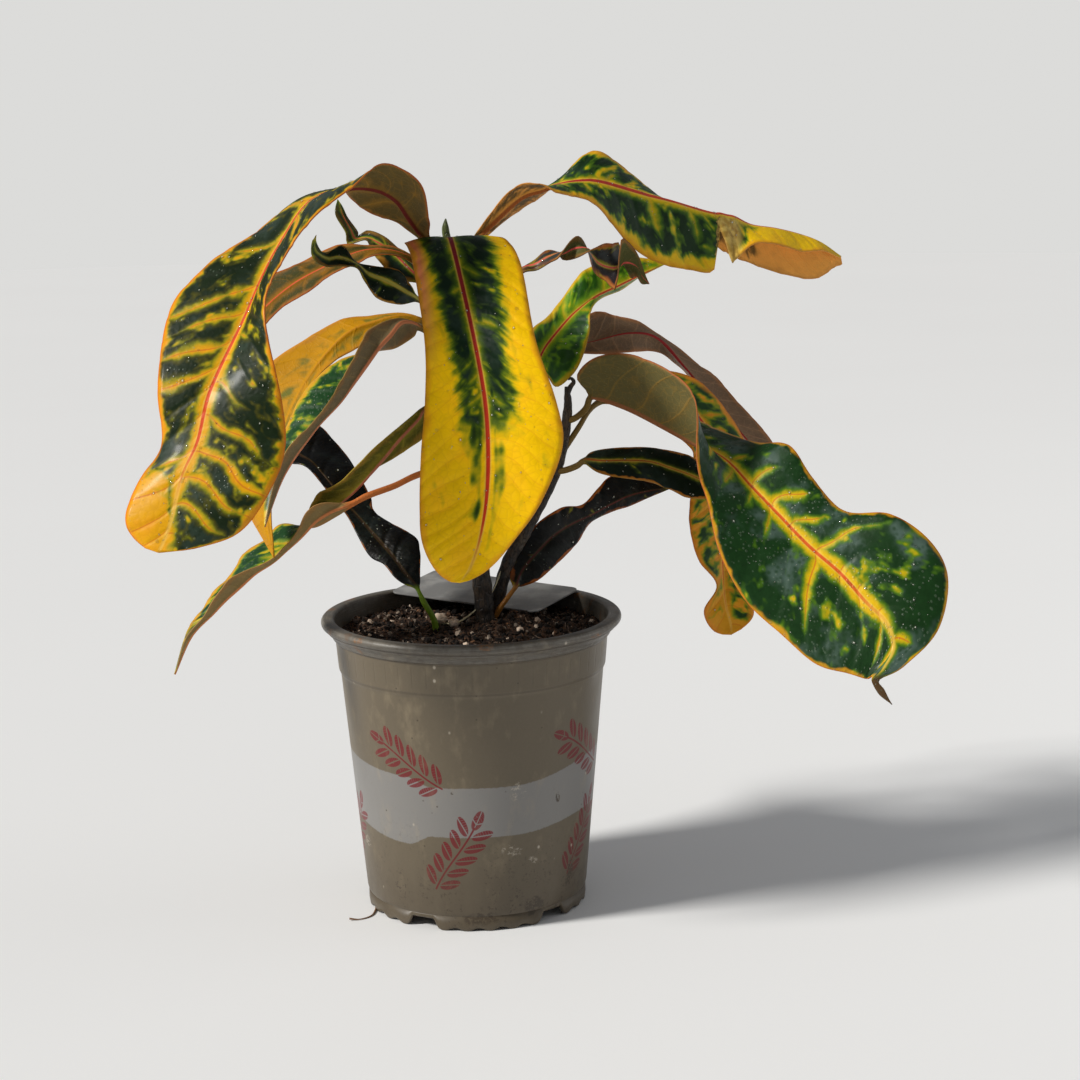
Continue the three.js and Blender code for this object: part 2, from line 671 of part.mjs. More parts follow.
/** The ring of scalloped feet under the wall. */
function skirt() {
  const rows = SKIRT.steps;
  const points = [];
  const { outerRadius, thickness, topHeight } = SKIRT;
  for (let i = 0; i < rows; i += 1) {
    const angle = (TURN * i) / rows;
    const low = skirtEdge(angle);
    const corners = [
      [outerRadius, low],
      [outerRadius, topHeight],
      [outerRadius - thickness, topHeight],
      [outerRadius - thickness, low],
    ];
    for (const [r, z] of corners) points.push(new THREE.Vector3(r * Math.cos(angle), r * Math.sin(angle), z));
  }
  const triangles = ringWalls(rows, 4).map((triangle) => triangle.reverse());
  for (let j = 0; j < 4; j += 1) {
    const k = (j + 1) % 4;
    const a = (rows - 1) * 4;
    triangles.push([k, a + k, a + j], [j, k, a + j]);
  }
  return geometryFrom(points, triangles);
}

function pot() {
  const section = potProfile().map(([r, z]) => new THREE.Vector2(r, z));
  const turned = new THREE.LatheGeometry(section, POT.segments).rotateX(Math.PI / 2);
  let body = solidOf(turned).add(solidOf(skirt()));
  for (let i = 0; i < DRAIN.count; i += 1) {
    const angle = (TURN * i) / DRAIN.count;
    const hole = new THREE.CylinderGeometry(DRAIN.radius, DRAIN.radius, 12, 12).rotateX(Math.PI / 2);
    hole.translate(DRAIN.ring * Math.cos(angle), DRAIN.ring * Math.sin(angle), POT.floorRise);
    body = body.subtract(solidOf(hole));
  }
  return body;
}

// ---- soil and stem ------------------------------------------------------------------

/** Height of the soil's surface: a low mound beside the stem and crumbs of three sizes. */
function soilHeight(x, y) {
  const [moundX, moundY] = SOIL.moundCentre;
  const mound = SOIL.mound * Math.exp(-((x - moundX) ** 2 + (y - moundY) ** 2) / SOIL.moundRadius ** 2);
  const coarse = Math.sin(x * 0.31 + 1.3) * Math.sin(y * 0.27 + 0.4);
  const middle = 0.6 * Math.sin(x * 0.73 + y * 0.41) * Math.sin(y * 0.69 - x * 0.23 + 2);
  const fine = 0.4 * Math.sin(x * 1.3 + 0.7) * Math.sin(y * 1.2 + x * 0.5);
  return SOIL.level + mound + SOIL.lumps * (coarse + middle + fine);
}

/** The block of soil that fills the pot, before its holes. */
function soilBlock() {
  const { segments, rings } = SOIL;
  const floor = POT.floorRise + POT.floorThickness + GAP;
  const taper = (57 - POT.seamRadius) / (POT.collarHeight - POT.seamHeight);
  const inside = (z) => POT.seamRadius + taper * (z - POT.seamHeight) - POT.wall - 2 * GAP;
  const points = [new THREE.Vector3(0, 0, floor)];
  const lower = floor + 2.5;
  const upper = POT.collarHeight - 1;
  const outline = [
    [inside(lower) - 2.2, floor],
    [inside(lower), lower],
    [inside(upper), upper],
  ];
  for (const [r, z] of outline) {
    for (let j = 0; j < segments; j += 1) {
      const angle = (TURN * j) / segments;
      points.push(new THREE.Vector3(r * Math.cos(angle), r * Math.sin(angle), z));
    }
  }
  const edge = inside(upper) + GAP;
  for (let i = rings; i > 0; i -= 1) {
    for (let j = 0; j < segments; j += 1) {
      const angle = (TURN * j) / segments;
      const r = (edge * i) / rings;
      const [x, y] = [r * Math.cos(angle), r * Math.sin(angle)];
      points.push(new THREE.Vector3(x, y, soilHeight(x, y)));
    }
  }
  points.push(new THREE.Vector3(0, 0, soilHeight(0, 0)));
  const rows = outline.length + rings;
  const triangles = ringWalls(rows, segments).map((triangle) => triangle.map((k) => k + 1));
  const top = points.length - 1;
  for (let j = 0; j < segments; j += 1) {
    const k = (j + 1) % segments;
    triangles.push([0, 1 + k, 1 + j]);
    triangles.push([top, top - segments + j, top - segments + k]);
  }
  return geometryFrom(points, triangles);
}

/** The trunk and its side shoot, joined at the foot, `extra` fatter all round. */
function stemSolid(extra) {
  return solidOf(taperedTube(STEM.trunk, extra)).add(solidOf(taperedTube(STEM.shoot, extra)));
}

// ---- leaves -------------------------------------------------------------------------

/** Rib, left and right margin ways of a leaf, with its stalk as a narrow first part. */
function leafLines({ stalk, blade }) {
  const first = vector(blade[0][1]).sub(vector(blade[0][2])).normalize();
  const half = first.multiplyScalar(BLADE.petioleRadius);
  const rib = [...stalk.map(vector), ...blade.map((line) => vector(line[0]))];
  const left = [...stalk.map(() => half.clone()), ...blade.map((line) => vector(line[1]))];
  const right = [...stalk.map(() => half.clone().negate()), ...blade.map((line) => vector(line[2]))];
  return { rib, left, right };
}

/** Middle surface of a leaf: one row of points for each step along the rib. */
function leafSheet(leaf) {
  const { rib, left, right } = leafLines(leaf);
  const spans = rib.length - 1;
  const start = leaf.stalk.length;
  const rows = [];
  for (let i = 0; i <= spans * BLADE.rowsPerSpan; i += 1) {
    const t = i / BLADE.rowsPerSpan;
    const centre = spline(rib, t);
    const ahead = spline(rib, Math.min(t + 0.1, spans));
    const along = ahead.sub(spline(rib, Math.max(t - 0.1, 0))).normalize();
    const ways = [spline(right, t), spline(left, t)];
    if (t === spans) {
      ways[1] = spline(left, t - 0.2).setLength(BLADE.tipHalfWidth);
      ways[0] = spline(right, t - 0.2).setLength(BLADE.tipHalfWidth);
    }
    const across = ways[1].clone().sub(ways[0]).normalize();
    const up = along.clone().cross(across).normalize();
    const share = Math.max((t - start) / (spans - start), 0);
    const row = BLADE.columns.map((v) => {
      const way = ways[v < 0 ? 0 : 1];
      const a = Math.abs(v);
      const width = way.length();
      const wave = Math.sin(TURN * leaf.waves * share + (v < 0 ? 0 : 1.9));
      const arch = leaf.bulge * width * 4 * (a - a * a);
      const lift = arch + leaf.ripple * a * a * wave * Math.min(width / 10, 1);
      return centre.clone().addScaledVector(way, a).addScaledVector(up, share > 0 ? lift : 0);
    });
    rows.push(row);
  }
  return rows;
}

/** A leaf as a closed solid: its sheet thickened to both sides, most along the rib. */
function leafSolid(leaf) {
  const rows = leafSheet(leaf);
  const columns = BLADE.columns.length;
  const stalkRows = leaf.stalk.length * BLADE.rowsPerSpan;
  const points = [];
  rows.forEach((row, i) => {
    const upper = [];
    const lower = [];
    row.forEach((point, j) => {
      const along = rows[Math.min(i + 1, rows.length - 1)][j].clone().sub(rows[Math.max(i - 1, 0)][j]);
      const across = row[Math.min(j + 1, columns - 1)].clone().sub(row[Math.max(j - 1, 0)]);
      const up = along.cross(across).normalize();
      const round = Math.sqrt(1 - BLADE.columns[j] ** 2 * 0.8);
      const rib = THREE.MathUtils.lerp(BLADE.ribThickness, BLADE.marginThickness, i / rows.length);
      const flat = j === (columns - 1) / 2 ? rib : BLADE.marginThickness;
      const thickness = i < stalkRows ? 2 * BLADE.petioleRadius * round : flat;
      upper.push(point.clone().addScaledVector(up, thickness / 2));
      lower.push(point.clone().addScaledVector(up, -thickness / 2));
    });
    points.push(...upper, ...lower.reverse());
  });
  const count = 2 * columns;
  const triangles = [];
  for (let i = 0; i < rows.length - 1; i += 1) {
    for (let j = 0; j < columns - 1; j += 1) {
      const [a, b] = [i * count + j, i * count + j + 1];
      const [c, d] = [b + count, a + count];
      triangles.push([a, c, b], [a, d, c]);
      const [e, f] = [i * count + count - 1 - j, i * count + count - 2 - j];
      const [g, h] = [f + count, e + count];
      triangles.push([e, f, g], [e, g, h]);
    }
    for (const [from, to] of [[columns - 1, columns], [count - 1, 0]]) {
      const [a, b] = [i * count + from, i * count + to];
      triangles.push([a, b + count, b], [a, a + count, b + count]);
    }
  }
  const last = (rows.length - 1) * count;
  for (let j = 0; j < columns - 1; j += 1) {
    triangles.push([j, j + 1, count - 2 - j], [j, count - 2 - j, count - 1 - j]);
    triangles.push([last + j, last + count - 2 - j, last + j + 1]);
    triangles.push([last + j, last + count - 1 - j, last + count - 2 - j]);
  }
  return solidOf(geometryFrom(points, triangles));
}

// ---- the card -----------------------------------------------------------------------

/** A plain rounded card lying over the back of the pot's rim, its front corner on the soil. */
function card() {
  const { length, width, corner, thickness, centre } = CARD;
  const [x, y] = [length / 2, width / 2];
  const outline = new THREE.Shape();
  outline.moveTo(-x + corner, -y);
  outline.absarc(x - corner, -y + corner, corner, -Math.PI / 2, 0);
  outline.absarc(x - corner, y - corner, corner, 0, Math.PI / 2);
  outline.absarc(-x + corner, y - corner, corner, Math.PI / 2, Math.PI);
  outline.absarc(-x + corner, -y + corner, corner, Math.PI, 1.5 * Math.PI);
  const options = { depth: thickness, bevelEnabled: false, curveSegments: 4 };
  const geometry = new THREE.ExtrudeGeometry(outline, options);
  const mesh = new THREE.Mesh(geometry, COLOURS.card);
  mesh.name = "plant_card";
  mesh.rotation.set(...[CARD.rise, CARD.lean, CARD.turn].map(THREE.MathUtils.degToRad));
  mesh.position.set(...centre);
  return mesh;
}

// ---- the whole plant ----------------------------------------------------------------

function named(name, solid, material) {
  const mesh = new THREE.Mesh(geometryOf(solid), material);
  mesh.name = name;
  return mesh;
}

const group = new THREE.Group();
const stem = stemSolid(0);
const stemRoom = stemSolid(GAP);
const leafSolids = Object.fromEntries(Object.entries(LEAVES).map(([name, leaf]) => [name, leafSolid(leaf)]));

let soil = solidOf(soilBlock()).subtract(stemRoom);
for (const { stalk } of [LEAVES.leaf_left_dark, LEAVES.leaf_right_dark]) {
  const lines = stalk.map((point) => [...point, 1.3 * BLADE.petioleRadius]);
  soil = soil.subtract(solidOf(taperedTube(lines, GAP)));
}

group.add(named("pot", pot(), COLOURS.pot));
group.add(named("soil", soil, COLOURS.soil));
group.add(named("stem", stem, COLOURS.stem));
group.add(card());
for (const [name, solid] of Object.entries(leafSolids)) {
  group.add(named(name, solid.subtract(stemRoom), LEAF_COLOURS[name] ?? COLOURS.green));
}

export default group;
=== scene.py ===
"""A croton in a plastic nursery pot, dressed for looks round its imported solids.

Each leaf is a sheet over two parameters: the way along its rib and the way across it. Its cross
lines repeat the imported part's own, in millimetres, so the fine leaf has the solid's form, and
its colours follow the sheet: gold bands beside the rib and the side veins, green between them,
an orange margin. The pot, soil and stem are worked out from a few sizes in the same way.
"""

from __future__ import annotations

import logging
import math
from dataclasses import dataclass, field
from enum import Enum
from typing import Optional, Sequence, Union

import bmesh
import bpy
import numpy as np
from mathutils import Matrix

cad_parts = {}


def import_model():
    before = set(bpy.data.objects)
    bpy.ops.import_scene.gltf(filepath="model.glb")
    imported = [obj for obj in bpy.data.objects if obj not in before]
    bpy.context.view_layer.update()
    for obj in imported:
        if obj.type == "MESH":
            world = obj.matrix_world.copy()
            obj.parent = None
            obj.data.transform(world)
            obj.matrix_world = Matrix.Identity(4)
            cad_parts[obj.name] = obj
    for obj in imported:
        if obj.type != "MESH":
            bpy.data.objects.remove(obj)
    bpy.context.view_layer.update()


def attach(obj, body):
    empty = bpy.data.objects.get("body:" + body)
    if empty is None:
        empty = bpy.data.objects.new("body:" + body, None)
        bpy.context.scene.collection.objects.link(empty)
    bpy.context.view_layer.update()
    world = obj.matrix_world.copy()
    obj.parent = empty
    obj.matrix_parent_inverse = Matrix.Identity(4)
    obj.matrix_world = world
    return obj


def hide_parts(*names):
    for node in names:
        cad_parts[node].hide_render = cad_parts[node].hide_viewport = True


LOG = logging.getLogger("croton")
MM = 0.001
TURN = 2 * math.pi
Triple = tuple[int, int, int]
Mesh = tuple[np.ndarray, list]  # points in mm and faces


def tone(colour: Colour) -> Value:
    """Turns a colour as the eye reads it into the shader's linear one.

    Args:
        colour: Channels from 0 to 255, or a wire, which is left as it is.

    Returns:
        Channels from 0 to 1, or the wire. A channel's share of 255 is divided by 12.92 where it
        is small, and is else ((share + 0.055) / 1.055) to the power 2.4.
    """
    if isinstance(colour, Wire):
        return colour
    shares = np.array(colour) / 255
    linear = np.where(shares <= 0.04045, shares / 12.92, ((shares + 0.055) / 1.055) ** 2.4)
    return tuple(float(c) for c in linear)


# ---- shader expressions ---------------------------------------------------------------


class Wire:
    """A shader socket, on which arithmetic adds Math nodes."""

    def __init__(self, graph: Graph, socket: bpy.types.NodeSocket) -> None:
        """Keeps the socket and the graph that it belongs to."""
        self.graph = graph
        self.socket = socket

    def _math(self, operation: str, *values: Number) -> Wire:
        """One Math node on these values."""
        return self.graph.node("ShaderNodeMath", {"operation": operation}, dict(enumerate(values)))

    def __add__(self, other: Number) -> Wire:
        """Sum."""
        return self._math("ADD", self, other)

    __radd__ = __add__

    def __sub__(self, other: Number) -> Wire:
        """Difference."""
        return self._math("SUBTRACT", self, other)

    def __rsub__(self, other: float) -> Wire:
        """Difference the other way round."""
        return self._math("SUBTRACT", other, self)

    def __mul__(self, other: Number) -> Wire:
        """Product."""
        return self._math("MULTIPLY", self, other)

    __rmul__ = __mul__

    def __truediv__(self, other: Number) -> Wire:
        """Quotient."""
        return self._math("DIVIDE", self, other)

    def __abs__(self) -> Wire:
        """Size without its sign."""
        return self._math("ABSOLUTE", self)

    def __gt__(self, other: Number) -> Wire:
        """1 where greater, 0 elsewhere."""
        return self._math("GREATER_THAN", self, other)

    def least(self, other: Number) -> Wire:
        """The lower of the two."""
        return self._math("MINIMUM", self, other)

    def most(self, other: Number) -> Wire:
        """The higher of the two."""
        return self._math("MAXIMUM", self, other)

    def floor(self) -> Wire:
        """The whole number below."""
        return self._math("FLOOR", self)

    def fraction(self) -> Wire:
        """What is left above the whole number below."""
        return self._math("FRACT", self)

    def sine(self) -> Wire:
        """Sine of an angle in radians."""
        return self._math("SINE", self)

    def power(self, exponent: float) -> Wire:
        """This value to an exponent."""
        return self._math("POWER", self, exponent)

    def angle_to(self, other: Wire) -> Wire:
        """Angle in radians of the point (other, self)."""
        return self._math("ARCTAN2", self, other)

    def steps(self, low: Number, high: Number) -> Wire:
        """0 below low, 1 above high, and a smooth rise between."""
        settings = {"interpolation_type": "SMOOTHSTEP"}
        return self.graph.node("ShaderNodeMapRange", settings, {0: self, 1: low, 2: high})

    def falls(self, low: Number, high: Number) -> Wire:
        """1 below low, 0 above high, and a smooth fall between."""
        return 1.0 - self.steps(low, high)


Number = Union[Wire, float]
Colour = Union[Wire, Triple]  # channels from 0 to 255, as the eye reads them
Value = Union[Wire, float, Sequence[float]]  # what an input socket takes


class Graph:
    """Builds one material's nodes."""

    def __init__(self, name: str) -> None:
        """Starts an empty material.

        Args:
            name: The material's name.
        """
        self.material = bpy.data.materials.new(name)
        self.material.use_nodes = True
        self.tree = self.material.node_tree
        self.tree.nodes.clear()

    def node(self, kind: str, settings: Optional[dict] = None, values: Optional[dict] = None,
             output: Union[int, str] = 0) -> Wire:
        """Adds a node.

        Args:
            kind: The node's type.
            settings: Its own settings, set before its sockets.
            values: A value or a wire for each input socket, by name or number.
            output: The output socket to return.

        Returns:
            The wire of that output.
        """
        made = self.tree.nodes.new(kind)
        for key, setting in (settings or {}).items():
            setattr(made, key, setting)
        for key, value in (values or {}).items():
            socket = made.inputs[key]
            if isinstance(value, Wire):
                self.tree.links.new(value.socket, socket)
            else:
                socket.default_value = (*value, 1.0) if socket.type == "RGBA" else value
        return Wire(self, made.outputs[output])

    def parts(self, vector: Wire) -> tuple[Wire, Wire, Wire]:
        """The three components of a vector."""
        first = self.node("ShaderNodeSeparateXYZ", None, {0: vector})
        return tuple(Wire(self, socket) for socket in first.socket.node.outputs)

    def vector(self, x: Value, y: Value, z: Value) -> Wire:
        """A vector of three components."""
        return self.node("ShaderNodeCombineXYZ", None, {0: x, 1: y, 2: z})

    def attribute(self, name: str) -> tuple[Wire, Wire, Wire]:
        """The components of a piece's own attribute."""
        settings = {"attribute_name": name}
        return self.parts(self.node("ShaderNodeAttribute", settings, None, "Vector"))

    def place(self) -> Wire:
        """Object coordinates in mm."""
        values = {0: self.node("ShaderNodeTexCoord", None, None, "Object"), 1: (1 / MM,) * 3}
        return self.node("ShaderNodeVectorMath", {"operation": "MULTIPLY"}, values)

    def noise(self, place: Wire, size: float, detail: float = 2.0, rough: float = 0.5) -> Wire:
        """Noise about 0.5 whose patches are about `size` mm across."""
        values = {"Vector": place, "Scale": 1 / size, "Detail": detail, "Roughness": rough}
        return self.node("ShaderNodeTexNoise", None, values)

    def cells(self, place: Wire, size: float, feature: str = "F1",
              output: str = "Distance") -> Wire:
        """Cells of about `size` mm: distance to the nearest point or edge, or that point."""
        values = {"Vector": place, "Scale": 1 / size}
        return self.node("ShaderNodeTexVoronoi", {"feature": feature}, values, output)

    def chance(self, place: Wire) -> Wire:
        """A number from 0 to 1 drawn for each place."""
        return self.node("ShaderNodeTexWhiteNoise", {"noise_dimensions": "3D"}, {"Vector": place})

    def mix(self, share: Value, one: Colour, two: Colour) -> Wire:
        """From colour one at 0 to colour two at 1."""
        values = {"Factor": share, 6: tone(one), 7: tone(two)}
        return self.node("ShaderNodeMix", {"data_type": "RGBA"}, values, 2)

    def coats(self, colour: Colour, *coats: tuple[Value, Colour]) -> Wire:
        """A colour under coats.

        Args:
            colour: The ground.
            coats: How much of each coat shows, and its colour, from the lowest up.

        Returns:
            The colour on top.
        """
        for share, coat in coats:
            colour = self.mix(share, colour, coat)
        return colour

    def tint(self, colour: Colour, by: Wire) -> Wire:
        """A colour times a brightness."""
        values = {0: tone(colour), "Scale": by}
        return self.node("ShaderNodeVectorMath", {"operation": "SCALE"}, values)

    def bump(self, height: Wire, depth: float) -> Wire:
        """A normal from a height in mm, which shows as strongly as depth, 1 for true."""
        values = {"Height": height, "Strength": depth, "Distance": MM}
        return self.node("ShaderNodeBump", None, values)

    def finish(self, **sockets: Value) -> bpy.types.Material:
        """Ends the material in a Principled shader.

        Args:
            sockets: A value or a wire for each socket; _ stands for a space in its name.

        Returns:
            The material.
        """
        named = {key.replace("_", " "): value for key, value in sockets.items()}
        shader = self.node("ShaderNodeBsdfPrincipled", None, named)
        out = self.tree.nodes.new("ShaderNodeOutputMaterial")
        self.tree.links.new(shader.socket, out.inputs["Surface"])
        return self.material


# ---- meshes ---------------------------------------------------------------------------


def grid_faces(rows: int, columns: int, closed: bool = False) -> np.ndarray:
    """Quads of a grid of points, row after row.

    Args:
        rows: Number of rows.
        columns: Points in a row.
        closed: Whether each row's last point joins its first.

    Returns:
        Four point indices for each quad.
    """
    i = np.arange(rows - 1)[:, None]
    j = np.arange(columns if closed else columns - 1)[None, :]
    k = (j + 1) % columns
    corners = [i * columns + j, i * columns + k, (i + 1) * columns + k, (i + 1) * columns + j]
    return np.stack(np.broadcast_arrays(*corners), -1).reshape(-1, 4)


def skin_faces(rows: int, columns: int) -> list:
    """Faces of a closed skin of rings, where two more points close its first and its last ring.

    Args:
        rows: Number of rings.
        columns: Points in a ring.

    Returns:
        The quads between the rings, then the triangles at both ends.
    """
    j = np.arange(columns)
    k = (j + 1) % columns
    count, last = rows * columns, (rows - 1) * columns
    first_end = np.stack([np.full(columns, count), k, j], 1)
    last_end = np.stack([np.full(columns, count + 1), last + j, last + k], 1)
    return grid_faces(rows, columns, closed=True).tolist() + first_end.tolist() + last_end.tolist()


def ring_angles(count: int) -> np.ndarray:
    """Evenly spaced angles once round, in radians."""
    return np.linspace(0, TURN, count, endpoint=False)


def run_of(points: np.ndarray) -> np.ndarray:
    """Length of the line through the points, from the first to each."""
    return np.r_[0, np.cumsum(np.linalg.norm(np.diff(points, axis=0), axis=1))]


def catmull(points: np.ndarray, t: np.ndarray) -> np.ndarray:
    """Catmull-Rom curve: at t = i it passes point i, with the slope from point i - 1 to i + 1.

    Past each end the next point is the mirror image of the one before.

    Args:
        points: One row for each point.
        t: Places on the curve, from 0 to the number of points less one.

    Returns:
        One row for each place.
    """
    ahead = 2 * points[:1] - points[1:2]
    after = 2 * points[-1:] - points[-2:-1]
    full = np.concatenate([ahead, points, after])
    i = np.clip(np.floor(t).astype(int), 0, len(points) - 2)
    f = (t - i)[:, None]
    p0, p1, p2, p3 = (full[i + k] for k in range(4))
    bend = (2 * p0 - 5 * p1 + 4 * p2 - p3) * f**2 + (3 * p1 - p0 - 3 * p2 + p3) * f**3
    return p1 + 0.5 * ((p2 - p0) * f + bend)


def unit(vectors: np.ndarray) -> np.ndarray:
    """Vectors along the last axis at length 1."""
    return vectors / np.maximum(np.linalg.norm(vectors, axis=-1, keepdims=True), 1e-9)


def ease(values: np.ndarray, low: float, high: float) -> np.ndarray:
    """0 below low, 1 above high, and a smooth rise between."""
    share = np.clip((values - low) / (high - low), 0, 1)
    return share * share * (3 - 2 * share)


def placed(name: str, data: bpy.types.ID) -> bpy.types.Object:
    """Puts a new object in the scene.

    Args:
        name: Its name.
        data: Its mesh, camera or light.

    Returns:
        The object.
    """
    made = bpy.data.objects.new(name, data)
    bpy.context.scene.collection.objects.link(made)
    return made


def solid(name: str, shape: Mesh) -> bpy.types.Mesh:
    """Mesh data of a closed shape, with its faces turned outwards.

    Args:
        name: Its name.
        shape: Points in mm and faces.

    Returns:
        The mesh in metres.
    """
    points, faces = shape
    mesh = bpy.data.meshes.new(name)
    mesh.from_pydata((points * MM).tolist(), [], faces)
    body = bmesh.new()
    body.from_mesh(mesh)
    bmesh.ops.recalc_face_normals(body, faces=body.faces)
    body.to_mesh(mesh)
    body.free()
    return mesh


@dataclass
class Piece:
    """A mesh in mm before it becomes an object."""

    name: str
    shape: Mesh
    materials: list[bpy.types.Material]
    slot_of_face: Optional[np.ndarray] = None
    attributes: dict[str, np.ndarray] = field(default_factory=dict)  # a vector for each point
    smooth: bool = True

    def make(self, slot: str, replaces: Optional[str] = None) -> bpy.types.Object:
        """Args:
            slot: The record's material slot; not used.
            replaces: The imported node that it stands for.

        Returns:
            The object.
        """
        mesh = solid(self.name, self.shape)
        count = len(mesh.polygons)
        for material in self.materials:
            mesh.materials.append(material)
        if self.slot_of_face is not None:
            mesh.polygons.foreach_set("material_index", self.slot_of_face.astype(np.int32))
        for name, values in self.attributes.items():
            layer = mesh.attributes.new(name, "FLOAT_VECTOR", "POINT")
            spread = np.broadcast_to(values, (len(mesh.vertices), 3)).astype(np.float32)
            layer.data.foreach_set("vector", spread.ravel())
        mesh.polygons.foreach_set("use_smooth", np.full(count, self.smooth))
        piece = placed(self.name, mesh)
        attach(piece, "root")
        if replaces:
            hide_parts(replaces)
        LOG.info("%s: %d faces", self.name, count)
        return piece


def tube(route: np.ndarray, radii: np.ndarray, sides: int, step: float) -> Mesh:
    """A closed round tube along a curve.

    A point is the curve's point plus the radius times (right cos a + front sin a), with right and
    front square to the curve. Each end closes in a point.

    Args:
        route: Points of the route in mm, joined by a Catmull-Rom curve.
        radii: The radius at each of them.
        sides: Points round the tube.
        step: Length of a ring in mm.

    Returns:
        The tube.
    """
    lines = np.column_stack([route, radii])
    t = np.linspace(0, len(route) - 1, 40 * len(route))
    length = run_of(catmull(lines, t)[:, :3])
    count = max(int(length[-1] / step), 4)
    rings = catmull(lines, np.interp(np.linspace(0, length[-1], count), length, t))
    along = unit(np.gradient(rings[:, :3], axis=0))
    right = unit(np.cross([0.05, 1.0, 0.02], along))
    front = np.cross(along, right)
    angle = ring_angles(sides)[None, :, None]
    around = right[:, None] * np.cos(angle) + front[:, None] * np.sin(angle)
    points = rings[:, None, :3] + rings[:, None, 3:] * around
    ends = rings[[0, -1], :3]
    return np.concatenate([points.reshape(-1, 3), ends]), skin_faces(count, sides)


def joined(parts: Sequence[Mesh]) -> Mesh:
    """Several meshes as one.

    Args:
        parts: The meshes.

    Returns:
        All their points, and their faces on those.
    """
    points, faces, first = [], [], 0
    for part_points, part_faces in parts:
        points.append(part_points)
        faces += [[first + i for i in face] for face in part_faces]
        first += len(part_points)
    return np.concatenate(points), faces


# ---- leaves ---------------------------------------------------------------------------


@dataclass(frozen=True)
class Skin:
    """A leaf's colours and pattern. Widths are in mm; pairs run from the base to the tip."""

    seed: float = 0.0
    green: Triple = (26, 44, 28)
    mid: Triple = (46, 92, 26)
    gold: Triple = (226, 172, 22)
    rib: Triple = (190, 52, 50)
    rib_tip: Triple = (214, 82, 34)
    margin: Triple = (200, 108, 48)
    petiole: Triple = (120, 96, 48)
    under: Triple = (112, 102, 58)
    under_gold: Triple = (196, 142, 48)
    under_rib: Triple = (150, 60, 44)
    rib_width: tuple[float, float] = (0.9, 0.3)
    rib_band: tuple[float, float] = (2.0, 3.0)
    outer: tuple[float, float] = (0.9, 0.85)  # share of each half that the green reaches
    green_share: tuple[float, float] = (-0.2, 0.95)  # where along the blade it lies
    lean: float = 0.0  # mm that it runs on further in the left half
    rib_end: float = 0.98  # share along the blade where the rib has faded
    spacing: float = 11.0  # of the side veins
    vein_band: float = 1.8
    vein_share: float = 0.7
    vein_reach: float = 0.95
    feather: float = 2.0
    ragged: float = 0.3  # how uneven the green's outer edge is
    soft: float = 1.2  # how gradually gold turns green
    show: float = 0.25  # how much of the pattern shows on the underside
    lines: float = 0.35  # how strongly the side veins show as orange lines
    orange: float = 0.35  # how much of the gold turns orange
    spots: float = 0.2
    spots_tip: float = 0.0  # more of them near the tip
    flecks: float = 0.0
    margin_width: float = 1.6
    blush: float = 0.0
    painted_shade_at_base: float = 0.0  # painted shade: how much darker the gold is near the base
    # blue-grey wax bloom on the upper side, with a painted sheen of sky reflection in it
    bloom_and_sheen: float = 0.3
    beads: float = 0.3
    gloss: float = 0.18
    drops: int = 40
    dark: float = 0.0  # 1 on nearly black leaves
    tail: Optional[float] = None  # share along the blade where a dry tail starts
    torn: Optional[float] = None  # mm along the blade where the right half is torn


class Slot(Enum):
    """The record's material slots for leaves."""

    GREEN = "leaf_green"
    GOLDEN = "leaf_golden"
    UNDERSIDE = "leaf_underside"
    DARK = "leaf_dark"


class Side(Enum):
    """Which face of a leaf a material is for."""

    UPPER = "upper"
    UNDER = "under"


@dataclass(frozen=True)
class LeafShape:
    """A leaf's form: stalk points, then cross lines of the blade from its base to its tip.

    A cross line is nine numbers in mm: the rib's point, the way from it to the left margin, and
    the way to the right margin, looking along the leaf with its upper side up.
    """

    node: str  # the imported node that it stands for
    bulge: float  # arch of each half, as a share of its width
    ripple: float  # height of the margin's waves in mm
    waves: int
    tip: float  # 1 for a pointed tip, 0.5 for a round one
    stalk: tuple[Triple, ...]
    blade: tuple[tuple[int, ...], ...]
    skin: Skin
    slot: Slot = Slot.GREEN


@dataclass(frozen=True)
class LeafPattern:
    """What both faces of a leaf paint by, as wires: lengths in mm, the rest from 0 to 1."""

    graph: Graph
    place: Wire
    left: Wire
    away: Wire  # from the rib
    along: Wire
    edge: Wire  # in from the margin
    share: Wire
    off: Wire  # from the nearest side vein
    cloud: Wire
    grain: Wire
    inside: Wire  # how far inside the green, below 0 in the gold
    ratio: Wire  # near 0 where the blade is narrow
    net: Wire
    margin: Wire
    rim: Wire
    width: Wire  # of the rib
    rib: Wire
    stalk: Wire


